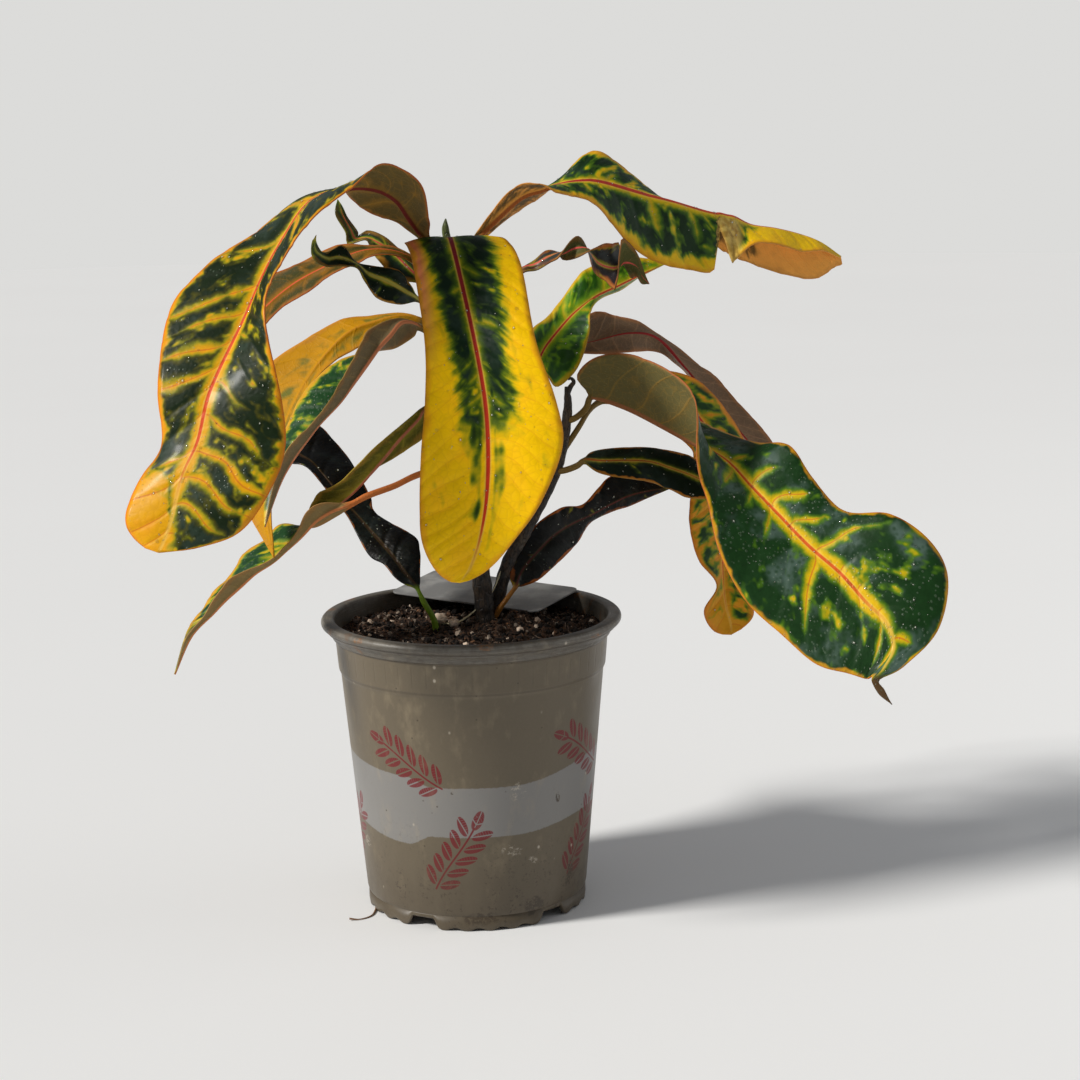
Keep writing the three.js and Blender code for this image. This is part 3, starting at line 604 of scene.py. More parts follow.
@dataclass(frozen=True)
class LeafFinish:
    """A leaf's colours, from its own coordinates.

    leaf_mm holds the distances in mm across from the rib, along from the blade's base and in from
    the margin. leaf_share holds the share across, the share along and the side veins' count.
    """

    shape: LeafShape
    length: float  # of the blade in mm

    def pattern(self, graph: Graph) -> LeafPattern:
        """The patterns of the leaf.

        Green lies where a distance is positive: the least of the distances to the gold band beside
        the rib, to the outer edge, to both ends and to the side veins' bands, roughened by noise.

        Args:
            graph: The material's graph.

        Returns:
            The patterns.
        """
        skin = self.shape.skin
        across, along, edge = graph.attribute("leaf_mm")
        height, share, veins = graph.attribute("leaf_share")

        def run(ends: tuple[float, float]) -> Wire:
            """A value that runs from the first at the leaf's base to the second at its tip."""
            return share * (ends[1] - ends[0]) + ends[0]

        away = abs(across)
        left = across > 0.0
        side = left * 5.0 + skin.seed  # moves a half's noise away from the other's
        place = graph.vector(across, along, skin.seed * 37.0)
        cloud = graph.noise(place, 13.0) - 0.5
        grain = graph.noise(place, 2.6, 3.0) - 0.5
        streak = graph.noise(graph.vector(veins * 2.4, away * 0.06, side), 1.0, 2.0) - 0.5
        cell = veins.floor()
        drawn = graph.chance(graph.vector(cell, left, skin.seed))
        varied = graph.chance(graph.vector(cell + 40.5, left, skin.seed))
        off = abs(veins - cell - 0.4 - varied * 0.2) * (skin.spacing * 0.86)
        far = abs(height) / (varied * 0.8 + 0.6)
        reach = far.falls(skin.vein_reach * 0.45, skin.vein_reach)
        banded = drawn.steps(1.0 - skin.vein_share, 1.12 - skin.vein_share)
        wide = away + edge
        ratio = wide.steps(0.5, 9.0)
        band = run(skin.rib_band)
        band = band * (1.0 - share.steps(skin.rib_end - 0.08, skin.rib_end + 0.02) * 0.8)
        half = self.length * 0.5
        inside = away - band * ratio
        ragged = graph.noise(place, 7.0, 2.0) - 0.5
        reached = wide * run(skin.outer) - away + streak * (skin.feather * 3.0)
        inside = inside.least(reached + ragged * (skin.ragged * 12.0))
        ending = (skin.green_share[1] - share) * half
        ending = ending + (across.steps(-14.0, 14.0) * 2.0 - 1.0) * skin.lean
        inside = inside.least(ending + cloud * 16.0)
        inside = inside.least((share - skin.green_share[0]) * half + cloud * 8.0)
        swell = graph.noise(place, 6.0, 1.0) * (varied + 0.5) * (2.0 * skin.vein_band)
        missing = (1.0 - banded) * 6.0 + (1.0 - reach) * (3.0 + skin.vein_band)
        inside = inside.least(off + missing - swell * ratio)
        if skin.spots > 0:
            slant = graph.vector(veins * 1.5, away * 0.1, side)
            patch = graph.noise(slant, 1.0, 2.0) * 0.7 + graph.noise(place, 5.0, 1.0) * 0.3
            level = 0.72 - 0.2 * skin.spots - share.steps(0.5, 0.9) * (0.2 * skin.spots_tip)
            if skin.tail is not None:
                level = level + share.steps(skin.tail - 0.15, skin.tail - 0.05) * 0.4
            inside = inside.least((level - patch) * 22.0)
        if skin.flecks > 0:
            fleck = graph.noise(graph.vector(across, along * 0.5, skin.seed), 6.0, 1.0)
            near = away.steps(1.5, 3.5) * away.falls(5.0, 9.0)
            rise = (fleck - 0.62 + 0.1 * skin.flecks) * 20.0 - (1.0 - near) * 5.0
            inside = inside.most(rise - share.steps(0.8, 0.95) * 6.0)
        width = run(skin.rib_width) * (1.0 - share.steps(0.7, 1.0) * 0.6)
        border = skin.margin_width
        rim = edge.falls(border * 0.1, border * 0.6) * (ratio * 0.5 + 0.2)
        faded = share.falls(skin.rib_end - 0.14, skin.rib_end)
        return LeafPattern(
            graph=graph, place=place, left=left, away=away, along=along, edge=edge,
            share=share, off=off, cloud=cloud, grain=grain, ratio=ratio, width=width,
            inside=inside + cloud * 3.0 + grain * 2.0 + streak * 1.2,
            net=graph.cells(place, 3.4, "DISTANCE_TO_EDGE"),
            margin=(edge + ragged * 5.0).falls(border * 0.4, border * 1.7) * ratio,
            rim=rim * (cloud + 0.9).least(1.0),
            rib=away.falls(width * 0.75, width * 1.35) * faded,
            stalk=along.falls(-1.0, 3.0),
        )

    def material(self, side: Side) -> bpy.types.Material:
        """Makes the material of one face of the leaf.

        Args:
            side: The face.

        Returns:
            The material.
        """
        pattern = self.pattern(Graph(f"{self.shape.node}_{side.value}"))
        return self._upper(pattern) if side is Side.UPPER else self._under(pattern)

    def _upper(self, at: LeafPattern) -> bpy.types.Material:
        """The upper face: gold, a lime fringe, dark green, then veins, rib and margin.

        Args:
            at: The leaf's patterns.

        Returns:
            The material.
        """
        skin, graph = self.shape.skin, at.graph
        soft = skin.soft
        inked = at.inside.steps(0.1 * soft, 1.6 * soft)
        orange = graph.mix(0.5, skin.gold, (222, 118, 34))
        ground = graph.mix((at.cloud + 0.5).steps(0.42, 0.7) * skin.orange, skin.gold, orange)
        # painted shade: the gold is darker near the leaf's base
        if skin.painted_shade_at_base > 0:
            ground = graph.tint(ground, 1.0 - skin.painted_shade_at_base + at.share.steps(0.15, 0.6) * skin.painted_shade_at_base)
        ground = graph.tint(ground, 1.0 + at.cloud * 0.3 + at.grain * 0.16)
        line = at.off.falls(0.1, 0.45) * (1.0 - inked) * skin.lines
        lime = graph.mix(at.inside.steps(-0.6 * soft, 0.8 * soft), (128, 144, 18), skin.mid)
        green = graph.tint(skin.green, 1.0 + at.grain * 0.7 + at.cloud * 0.5)
        # painted reflection: a blue-grey sheen of sky, with some wax bloom, mixed into the green
        bloom_and_sheen = graph.noise(at.place, 16.0, 3.0).steps(0.48, 0.66) * (skin.bloom_and_sheen * 0.6)
        bloom_and_sheen = bloom_and_sheen * (graph.cells(at.place, 2.2).steps(0.1, 0.55) * 0.6 + 0.4)
        colour = graph.coats(
            ground,
            (line, (196, 92, 30)),
            (at.net.falls(0.02, 0.12) * 0.11, (170, 110, 20)),
            (at.inside.steps(-1.3 * soft, 0.4 * soft) * 0.95, lime),
            (inked, graph.mix(bloom_and_sheen, green, (84, 104, 96))),
        )
        if skin.blush > 0:
            blush = (1.0 - at.left) * at.share.falls(0.2, 0.55) * skin.blush
            colour = graph.mix(blush * at.edge.falls(1.5, 7.0), colour, (234, 138, 88))
        beside = at.away.falls(at.width, at.width + 0.9) * at.ratio
        colour = graph.coats(
            colour,
            (at.margin * 0.75, orange),
            (at.rim * 0.7, skin.margin),
            (beside * (0.55 - 0.5 * skin.dark), (232, 190, 90)),
            (at.rib, graph.mix(at.share.steps(0.1, 0.8), skin.rib, skin.rib_tip)),
        )
        beads = self._beads(at)
        # painted highlight: a pale ring round each water bead
        ring = beads.steps(0.02, 0.3) * beads.falls(0.4, 0.9)
        colour = graph.coats(self._dried(at, colour), (at.stalk, skin.petiole),
                             (ring * 0.2, (126, 142, 122)))
        relief = at.net.steps(0.0, 0.4) * 0.06 + at.grain * 0.1 + beads * 0.26
        relief = relief + at.off.steps(0.0, 2.2) * at.ratio * 0.22
        rough = 0.46 - 0.06 * skin.dark + at.cloud * 0.24 + at.grain * 0.12 - beads * 0.26
        if skin.dark > 0:
            crease = graph.noise(graph.vector(at.away * 0.5, at.along, skin.seed), 2.4, 3.0, 0.6)
            relief = relief + crease * (0.7 * skin.dark)
        return graph.finish(Base_Color=colour, Roughness=rough, Normal=graph.bump(relief, 0.8),
                            Coat_Weight=0.05, Coat_Roughness=0.16,
                            Specular_IOR_Level=skin.gloss)

    def _under(self, at: LeafPattern) -> bpy.types.Material:
        """The underside: the upper side's pattern showing dully through, with a pale net.

        Args:
            at: The leaf's patterns.

        Returns:
            The material.
        """
        skin, graph = self.shape.skin, at.graph
        through = 1.0 - at.inside.falls(-2.0, 2.2) * skin.show
        line = at.off.falls(0.1, 0.6)
        netted = at.net.falls(0.015, 0.07)
        ground = graph.mix(through, skin.under_gold, skin.under)
        colour = graph.coats(
            graph.tint(ground, 1.0 + at.grain * 0.25 + at.cloud * 0.35),
            (line * at.ratio * 0.16, skin.under_gold),
            (netted * 0.1, skin.under_gold),
            (graph.cells(at.place, 1.1).falls(0.1, 0.25) * 0.18, (176, 160, 110)),
            (at.margin * 0.35, (176, 112, 56)),
            (at.rim * 0.55, skin.margin),
            (at.away.falls(at.width * 0.9, at.width * 1.6), skin.under_rib),
        )
        colour = graph.mix(at.stalk, self._dried(at, colour), skin.petiole)
        relief = netted * 0.06 + line * 0.1 + at.grain * 0.1
        return graph.finish(Base_Color=colour, Roughness=0.58 + at.cloud * 0.12 + at.grain * 0.1,
                            Normal=graph.bump(relief, 0.8), Specular_IOR_Level=0.12)

    def _dried(self, at: LeafPattern, colour: Wire) -> Wire:
        """Brown on a dry tail, and tan past a tear in the right half, where the leaf has them.

        Args:
            at: The leaf's patterns.
            colour: The colour below.

        Returns:
            The colour.
        """
        skin, graph = self.shape.skin, at.graph
        tail, torn = skin.tail, skin.torn
        if tail is not None:
            colour = graph.mix(at.share.steps(tail - 0.01, tail + 0.01), colour, (84, 62, 36))
        if torn is None:
            return colour
        past = at.along - torn + at.grain * 6.0
        dry = past.steps(-0.5, 0.3) * past.falls(9.0, 16.0) * (1.0 - at.left)
        dry = dry * at.away.steps(0.8, 2.5)
        tan = graph.mix((at.grain + 0.5).steps(0.35, 0.65), (170, 132, 62), (214, 182, 98))
        seam = abs(past - 0.2).falls(0.2, 0.7) * dry
        return graph.coats(colour, (dry * 0.85, tan), (seam * 0.6, (92, 60, 30)))

    def _beads(self, at: LeafPattern) -> Wire:
        """Tiny domes of water: round a cell's point, in some of the cells.

        Args:
            at: The leaf's patterns.

        Returns:
            Their height, from 0 to 1.
        """
        amount, graph = self.shape.skin.beads, at.graph
        drawn = graph.chance(graph.cells(at.place, 1.6, "F1", "Position"))
        dome = graph.cells(at.place, 1.6).falls(0.0, 0.42)
        wet = graph.noise(at.place, 22.0, 1.0).steps(0.62 - 0.3 * amount, 0.7)
        return dome * (drawn > 1.0 - 0.6 * amount) * wet


class LeafSheet:
    """A leaf's fine mesh, worked out from its shape."""

    STEP = 1.25  # length of a row in mm
    HALF = 13  # columns in each half
    CROWDING = 1.35  # above 1, the columns lie closer near the rib
    STALK_RADIUS = 1.4
    THICKNESS = 0.5
    BLEND = 9.0  # mm in which the stalk turns to blade
    VEIN_SLANT = 0.6  # mm that a side vein runs on for each mm across
    VEIN_WOBBLE = 1.4
    VEIN_OFFSET = 0.22  # share of the spacing between the two halves' veins
    GROOVE_DEPTH = 0.3
    GROOVE_WIDTH = 1.3
    TIP_WIDTH = 0.12
    RIB_HEIGHT = (1.5, 0.25)  # of the ridge on the underside
    RIB_SPREAD = 1.0
    RIB_LEAST = 0.3  # share of that height under a rib of no width

    def __init__(self, shape: LeafShape) -> None:
        """Works out the sheet's points and the coordinates that its colours use.

        A point is the rib's point plus |v| times the way to its margin, lifted towards the upper
        side by an arch, bulge x width x 4 (|v| - v squared), and a wave, ripple x v squared x
        sin(2 pi waves share). In the last span the ways shrink to none as the share left of it to
        the power `tip`. Side veins are where the count of them along the leaf is whole and a
        half; the sheet sinks a little along them.

        Args:
            shape: The leaf's form and colours.
        """
        self.shape = shape
        skin = shape.skin
        self.ridge = min(1.0, self.RIB_LEAST + 0.8 * skin.rib_width[0])
        stalk = np.array(shape.stalk, float)
        blade = np.array(shape.blade, float).reshape(-1, 3, 3)
        way = self.STALK_RADIUS * unit(blade[0, 1] - blade[0, 2])
        rib = np.concatenate([stalk, blade[:, 0]])
        left = np.concatenate([np.tile(way, (len(stalk), 1)), blade[:, 1]])
        right = np.concatenate([np.tile(-way, (len(stalk), 1)), blade[:, 2]])
        lines = np.hstack([rib, left, right])
        spans = len(lines) - 1
        t = np.linspace(0, spans, 60 * spans)
        fine = catmull(lines, t)
        length = run_of(fine[:, :3])
        start = float(np.interp(len(stalk), t, length))
        self.length = length[-1] - start
        count = int(length[-1] / self.STEP)
        stops = np.linspace(0, length[-1], count)
        t = np.interp(stops, length, t)
        rows = catmull(lines, t)
        last = t > spans - 1
        closing = (spans - t[last, None]) ** shape.tip
        rows[last, 3:] += (closing * lines[-2, 3:] - rows[last, 3:]) * (1 - closing) ** 0.5
        rows[-1, 3:] = self.TIP_WIDTH * np.r_[unit(rows[-3, 3:6]), unit(rows[-3, 6:9])]
        centre, ways = rows[:, :3], rows[:, 3:].reshape(-1, 2, 3)
        v = np.linspace(0, 1, self.HALF + 1) ** self.CROWDING
        v = np.r_[-v[:0:-1], v]
        a = np.abs(v)[None, :, None]
        way = np.where((v > 0)[None, :, None], ways[:, :1], ways[:, 1:])
        along = unit(np.gradient(centre, axis=0))
        up = unit(np.cross(along, unit(ways[:, 0] - ways[:, 1])))
        width = np.linalg.norm(way, axis=2, keepdims=True)
        share = np.clip((t - len(stalk)) / (spans - len(stalk)), 0, None)[:, None, None]
        wave = np.sin(TURN * shape.waves * share + np.where(v > 0, 1.9, 0.0)[None, :, None])
        lift = shape.bulge * width * 4 * (a - a**2)
        lift = lift + shape.ripple * a**2 * wave * np.minimum(width / 10, 1)
        self.mm = stops - start
        on_blade = ease(self.mm, 0, self.BLEND)[:, None, None]
        across = v[None, :] * width[..., 0]
        mm = self.mm[:, None]
        wobble = self.VEIN_WOBBLE * np.sin(0.11 * mm + 0.23 * across + 2.1 * skin.seed)
        self.veins = (mm - self.VEIN_SLANT * np.abs(across) + wobble) / skin.spacing
        self.veins = self.veins + self.VEIN_OFFSET * np.tanh(across / 3)
        off = np.abs(self.veins % 1 - 0.5) * skin.spacing
        groove = np.exp(-((off / self.GROOVE_WIDTH) ** 2))
        quilt = -self.GROOVE_DEPTH * groove * ease(np.abs(across), 0.5, 4)
        lift = lift + (quilt * np.clip(width[..., 0] / 12, 0, 1))[..., None]
        self.sheet = centre[:, None] + a * way + up[:, None] * lift * on_blade
        self.across, self.width, self.v = across, width[..., 0], v
        self.share = np.clip(self.mm / self.length, -0.1, 1)
        self.blade_share = on_blade[..., 0]
        normal = np.cross(*np.gradient(self.sheet, axis=(0, 1)))
        thin = np.linalg.norm(normal, axis=2, keepdims=True) < 1e-3
        self.up = unit(np.where(thin, up[:, None], unit(normal)))

    def faces_of_thickness(self) -> tuple[np.ndarray, np.ndarray]:
        """Both faces: those of a thin blade with a ridge under its rib, and of a round stalk.

        Returns:
            The upper face's points and the lower face's.
        """
        spread = np.exp(-((self.across / self.RIB_SPREAD) ** 2))
        base, tip = self.RIB_HEIGHT
        tall = base + (tip - base) * self.share[:, None]
        half = self.THICKNESS / 2
        stalk = np.sqrt(np.maximum(self.STALK_RADIUS**2 - self.across**2, half**2))
        over = half + 0.12 * spread
        below = half + np.clip(tall * self.ridge, 0.2, 1.6) * spread
        over, below = (stalk + (side - stalk) * self.blade_share for side in (over, below))
        return self.sheet + self.up * over[..., None], self.sheet - self.up * below[..., None]

    def make(self) -> bpy.types.Object:
        """Makes the leaf as a closed mesh with its two faces' materials.

        Returns:
            The leaf's object.
        """
        upper, lower = self.faces_of_thickness()
        rows, columns = self.across.shape
        half = rows * columns
        quads = grid_faces(rows, columns)
        i = np.arange(rows - 1) * columns
        j = np.arange(columns - 1)
        margins = np.stack([i, i + columns, i + columns + half, i + half], 1)
        ends = np.stack([j, j + 1, j + 1 + half, j + half], 1)
        faces = np.concatenate([quads, quads[:, ::-1] + half, margins, margins + columns - 1,
                                ends, ends + half - columns])
        slots = np.ones(len(faces))
        slots[:len(quads)] = 0
        edge = (1 - np.abs(self.v)) * self.width
        along, share = self.mm[:, None], self.share[:, None]

        def vectors(*parts: np.ndarray) -> np.ndarray:
            """These as the vector of each point of both faces."""
            return np.tile(np.stack(np.broadcast_arrays(*parts), -1).reshape(-1, 3), (2, 1))

        finish = LeafFinish(self.shape, self.length)
        piece = Piece(
            self.shape.node.replace("leaf_", "blade_"),
            (np.concatenate([upper.reshape(-1, 3), lower.reshape(-1, 3)]), faces.tolist()),
            [finish.material(Side.UPPER), finish.material(Side.UNDER)],
            slots,
            {"leaf_mm": vectors(self.across, along, edge),
             "leaf_share": vectors(self.v, share, self.veins)},
        )
        return piece.make(self.shape.slot.value, self.shape.node)

    def spots_for_drops(self, rng: np.random.Generator) -> np.ndarray:
        """Random places on the upper face, as point, normal and along, nine numbers each.

        A place is kept with a chance in proportion to the blade's width there, so the drops lie
        evenly over the leaf.

        Args:
            rng: Source of the random draws.

        Returns:
            One row for each place.
        """
        count = self.shape.skin.drops
        upper, _ = self.faces_of_thickness()
        rows, columns = self.across.shape
        row = rng.uniform(4, rows - 3, 6 * count)
        column = rng.uniform(0.6, columns - 1.6, 6 * count)
        i, j = row.astype(int), column.astype(int)
        widest = self.width.max()
        kept = (rng.uniform(0, 1, 6 * count) < self.width[i, j] / widest) & (self.mm[i] > 6)
        i, j = i[kept][:count], j[kept][:count]
        f, g = (row[kept][:count] - i)[:, None], (column[kept][:count] - j)[:, None]

        def blend(values: np.ndarray) -> np.ndarray:
            """Values at the places, each between those of the four grid points round it."""
            low = values[i, j] * (1 - g) + values[i, j + 1] * g
            high = values[i + 1, j] * (1 - g) + values[i + 1, j + 1] * g
            return low * (1 - f) + high * f

        along = np.gradient(self.sheet, axis=0)
        return np.hstack([blend(upper), unit(blend(self.up)), unit(blend(along))])


LEAVES: tuple[LeafShape, ...] = (
    LeafShape("leaf_left_large", 0.05, 1.2, 5, 0.45, ((-5, 8, 265), (-11, 5, 281)), (
        (-17, 3, 290, 3, -2, 0, -3, 2, 0), (-22, -3, 298, 9, -10, 1, -8, 8, -2),
        (-27, -11, 306, 11, -16, 7, -11, 12, -5), (-35, -20, 311, 5, -22, 10, -11, 15, -5),
        (-46, -31, 312, 5, -26, 3, -4, 19, -3), (-60, -42, 307, 8, -26, -2, -7, 20, 1),
        (-71, -54, 291, 6, -24, -1, -13, 15, 2), (-78, -65, 277, 5, -22, 1, -23, 12, 6),
        (-84, -75, 263, 11, -19, 0, -30, 10, 6), (-96, -90, 238, 28, -10, -2, -21, 6, 2),
        (-101, -97, 219, 34, -6, -2, -15, 6, -1), (-107, -102, 206, 36, -5, -3, -17, 6, -1),
        (-111, -107, 190, 29, -4, -2, -18, 5, 1), (-114, -109, 182, 18, -2, -1, -12, 3, 1),
        (-116, -110, 178, 0, 0, 0, 0, 0, 0),
    ), Skin(
        seed=1, green=(16, 32, 7), mid=(56, 66, 10), gold=(224, 162, 4),
        rib=(196, 50, 48), rib_tip=(212, 78, 34), margin=(206, 70, 34),
        under=(98, 84, 46), under_rib=(110, 40, 34), rib_width=(0.9, 0.7),
        rib_band=(1.9, 4.2), outer=(0.98, 0.92), lean=10, rib_end=0.93, spacing=12, vein_band=1.5,
        vein_reach=1.1, feather=1.2, ragged=0.9, soft=1.6, lines=0.6, orange=0.65, spots=0.52,
        margin_width=1.4, beads=0.5, gloss=0.16, drops=380,
    )),
    LeafShape("leaf_front_golden", 0.05, 1, 4, 0.55, ((-5, 8, 256), (-4, 3, 265)), (
        (-4, 1, 271, 3, 0, 0, -3, 0, 0), (-4, -3, 282, 13, 2, -1, -14, 2, 0),
        (-5, -12, 290, 20, 4, -1, -19, 4, -1), (-2, -25, 281, 26, -3, 0, -18, -3, 0),
        (5, -44, 251, 25, -7, 0, -20, -5, 1), (9, -51, 227, 29, -6, -1, -24, -5, 1),
        (10, -56, 207, 30, -5, 2, -27, -4, -1), (9, -60, 188, 22, -5, -1, -27, -3, -2),
        (6, -63, 172, 14, -3, 0, -23, -2, -1), (2, -65, 161, 7, -1, -1, -13, -1, -2),
        (-2, -66, 155, 0, 0, 0, 0, 0, 0),
    ), Skin(
        seed=2, green=(10, 32, 14), mid=(34, 84, 12), gold=(248, 198, 0),
        rib=(120, 24, 34), rib_tip=(196, 56, 28), margin=(206, 130, 50),
        rib_width=(0.95, 0.9), rib_band=(1.8, 1.2), outer=(0.78, 0.14), green_share=(-0.2, 0.63),
        spacing=8, vein_band=0.3, vein_share=0.4, vein_reach=0.5, feather=2.4, ragged=0.5,
        soft=2.4, lines=0.14, orange=0.32, spots=0.25, flecks=1.0, blush=1.2, painted_shade_at_base=0.16, bloom_and_sheen=0.2,
        gloss=0.1, drops=150,
    ), Slot.GOLDEN),
    LeafShape("leaf_top_right_torn", 0.04, 0.8, 4, 0.4, ((-6, 8, 276), (3, 11, 282)), (
        (7, 11, 289, 2, 1, -1, -2, -1, 1), (23, 13, 304, 2, 12, -4, -2, -11, 4),
        (33, 14, 308, 1, 15, -2, -1, -13, 3), (41, 17, 310, 3, 16, 4, -1, -14, -2),
        (51, 22, 311, 1, 14, 10, -2, -12, -6), (60, 27, 310, 1, 12, 12, -3, -11, -10),
        (80, 37, 304, 2, 15, 2, -9, -7, -21), (91, 42, 301, 2, 13, -5, -7, -5, -26),
        (103, 48, 297, 2, 10, -12, -5, -3, -26), (110, 51, 295, 3, 9, -17, -1, -3, -25),
        (112, 52, 295, 3, 9, -17, 0, -2, -8), (115, 54, 294, 3, 8, -18, 2, -6, -19),
        (119, 56, 293, 3, 7, -20, 0, -7, -18), (127, 61, 289, 5, 5, -20, 0, -11, -8),
        (138, 65, 287, 6, 4, -21, 0, -11, -7), (149, 70, 284, 7, 3, -20, 0, -9, -7),
        (159, 73, 280, 5, 2, -13, 0, -6, -3), (169, 78, 273, 0, 0, 0, 0, 0, 0),
    ), Skin(
        seed=3, green=(12, 42, 8), mid=(44, 100, 14), gold=(228, 186, 8),
        rib=(170, 40, 40), rib_tip=(196, 80, 44), margin=(196, 130, 60),
        under=(96, 74, 34), under_gold=(240, 168, 76), under_rib=(170, 96, 44),
        rib_width=(1.1, 0.5), rib_band=(2.6, 2.6), outer=(0.95, 0.7), green_share=(-0.2, 0.74),
        spacing=9, vein_band=0.7, vein_share=0.6, vein_reach=0.7, feather=3, ragged=0.6, soft=1.6,
        show=1.0, lines=0.2, spots=0.6, drops=110, torn=122,
    )),
    LeafShape("leaf_corkscrew", 0.03, 0.3, 3, 1.0, ((-5, 8, 262), (15, 6, 269)), (
        (25, 4, 275, 0, 2, 1, 0, -2, -1), (30, 3, 277, 0, 2, 2, 1, -2, -2),
        (35, 1, 280, 0, 4, 3, 1, -3, -2), (40, 0, 282, 0, 8, 0, 0, -7, -1),
        (44, 0, 283, -2, 2, -4, 1, -2, 4), (48, -1, 284, -1, -2, -4, 1, 1, 5),
        (53, -2, 283, 1, -10, 1, 0, 9, -1), (57, -3, 278, 2, -4, 8, -2, 4, -4),
        (62, -4, 276, 1, 0, 10, -2, 2, -6), (65, -4, 276, 1, 7, 9, -1, -5, -8),
        (67, -5, 278, 3, 6, -6, -1, -7, 9), (70, -5, 278, 2, 1, -6, -1, -4, 9),
        (73, -5, 276, 0, -2, -4, 0, -1, 6), (75, -5, 272, 0, -1, -3, 1, 0, 2),
        (78, -5, 269, 0, 0, 0, 0, 0, 0),
    ), Skin(
        seed=4, green=(30, 24, 28), mid=(60, 50, 34), gold=(120, 84, 44),
        rib=(206, 84, 76), rib_tip=(206, 90, 76), margin=(120, 60, 50),
        petiole=(140, 90, 60), under=(78, 78, 40), under_gold=(120, 100, 50),
        under_rib=(206, 84, 76), rib_width=(0.4, 0.35), rib_band=(0.7, 0.8), spacing=8,
        vein_band=0.4, vein_share=0.2, spots=0.1, drops=20,
    ), Slot.DARK),
    LeafShape("leaf_right_upper", 0.05, 0.7, 3, 0.8, ((-2, 7, 214), (14, 11, 221)), (
        (26, 14, 230, -1, 1, 1, 1, -1, -1), (31, 18, 235, -4, 4, 4, 3, -4, -6),
        (34, 21, 240, -6, 5, 7, 5, -7, -16), (39, 24, 246, -4, 6, 6, 9, -8, -14),
        (46, 29, 253, -6, 6, 5, 7, -9, -8), (53, 34, 258, -5, 6, 10, 1, -8, -3),
        (58, 38, 261, -5, 6, 11, 1, 5, -2), (66, 43, 264, -5, 6, 10, 2, 7, -2),
        (76, 50, 268, -3, 5, 8, 1, 7, -1), (89, 58, 273, 0, 0, 0, 0, 0, 0),
    ), Skin(
        seed=5, green=(30, 72, 10), mid=(92, 148, 26), gold=(212, 204, 24),
        rib=(190, 56, 44), margin=(190, 150, 60), rib_width=(0.6, 0.3),
        rib_band=(1.4, 1.8), outer=(0.95, 0.85), spacing=7, vein_band=0.7, vein_share=0.5,
        soft=2.2, spots=0.4,
    )),
    LeafShape("leaf_right_brown", 0.05, 0.8, 5, 0.9, ((-2, 8, 225), (19, 21, 232)), (
        (34, 29, 237, 0, -1, -1, 0, 1, 1), (54, 37, 240, 0, -6, -4, 0, 6, 12),
        (71, 44, 243, 0, -4, -8, -3, 7, 7), (84, 51, 240, -1, 2, -6, 0, 8, 2),
        (96, 58, 227, -1, 8, -2, 7, 7, 0), (108, 65, 212, -1, 10, -2, 9, 6, 2),
        (131, 77, 184, -1, 6, -3, 9, 4, 1), (152, 91, 152, 0, 0, 0, 0, 0, 0),
    ), Skin(
        seed=6, green=(50, 60, 36), margin=(186, 110, 70), under=(112, 90, 70),
        under_gold=(196, 152, 112), under_rib=(150, 40, 40), rib_width=(0.2, 0.12),
        spacing=9, show=0.1, drops=20,
    ), Slot.UNDERSIDE),
    LeafShape("leaf_right_large", 0.04, 1.2, 5, 1.0,
        ((43, 12, 209), (47, 10, 211), (51, 8, 215)), (
        (53, 6, 220, 1, 3, 0, -1, -2, 2), (57, 4, 220, 2, 14, 0, -10, -5, 10),
        (64, 0, 218, 4, 20, 1, -7, -8, 22), (74, -6, 214, 5, 22, 1, -1, -10, 26),
        (94, -18, 204, 8, 17, 5, -1, -19, 22), (108, -29, 197, 14, 8, 7, -13, -19, 3),
        (118, -36, 187, 16, 4, 16, -19, -15, -3), (129, -44, 176, 14, 4, 15, -26, -11, -12),
        (140, -53, 165, 15, 4, 14, -27, -8, -20), (152, -61, 155, 21, 5, 23, -25, -6, -23),
        (161, -68, 145, 27, 5, 23, -20, -4, -25), (169, -74, 137, 25, 4, 17, -15, -3, -20),
        (171, -79, 128, 18, 2, 6, -11, -1, -12), (167, -82, 121, 8, 0, 0, -5, 0, -4),
        (163, -83, 116, 2, 0, 0, -1, 0, -1), (166, -84, 111, 1, 0, 1, -1, 0, -1),
        (170, -84, 106, 0, 0, 0, 0, 0, 0),
    ), Skin(
        seed=7, green=(16, 50, 14), mid=(50, 108, 14), gold=(224, 182, 8),
        rib=(206, 92, 26), rib_tip=(210, 92, 30), margin=(204, 84, 44),
        under=(100, 92, 54), under_rib=(150, 96, 60), rib_width=(0.8, 0.6),
        rib_band=(1.6, 4.6), outer=(1.05, 1.0), green_share=(-0.2, 1.3), rib_end=0.84, spacing=13,
        vein_band=1.1, vein_share=0.55, vein_reach=0.85, ragged=0.5, soft=1.5, show=0.1, lines=0.7,
        orange=0.15, spots_tip=0.5, margin_width=1.1, bloom_and_sheen=1.15, beads=1.0, drops=300, tail=0.93,
    )),
    LeafShape("leaf_right_hanging", 0.05, 0.7, 4, 0.5,
        ((41, 12, 196), (48, 15, 206), (53, 19, 213)), (
        (58, 23, 216, 0, 2, 2, 1, -1, -1), (71, 30, 219, -1, 5, 9, 1, -6, -7),
        (83, 35, 218, 3, 6, 9, -2, -9, -11), (95, 39, 212, 7, 6, 9, -5, -10, -12),
        (104, 40, 202, 12, 6, 4, -6, -10, -10), (109, 39, 189, 15, 6, 2, -11, -10, -5),
        (112, 36, 174, 16, 6, 0, -15, -9, -1), (112, 32, 158, 15, 5, -1, -16, -8, 3),
        (111, 28, 143, 11, 4, -2, -11, -7, 3), (111, 24, 133, 7, 2, -1, -3, -4, 1),
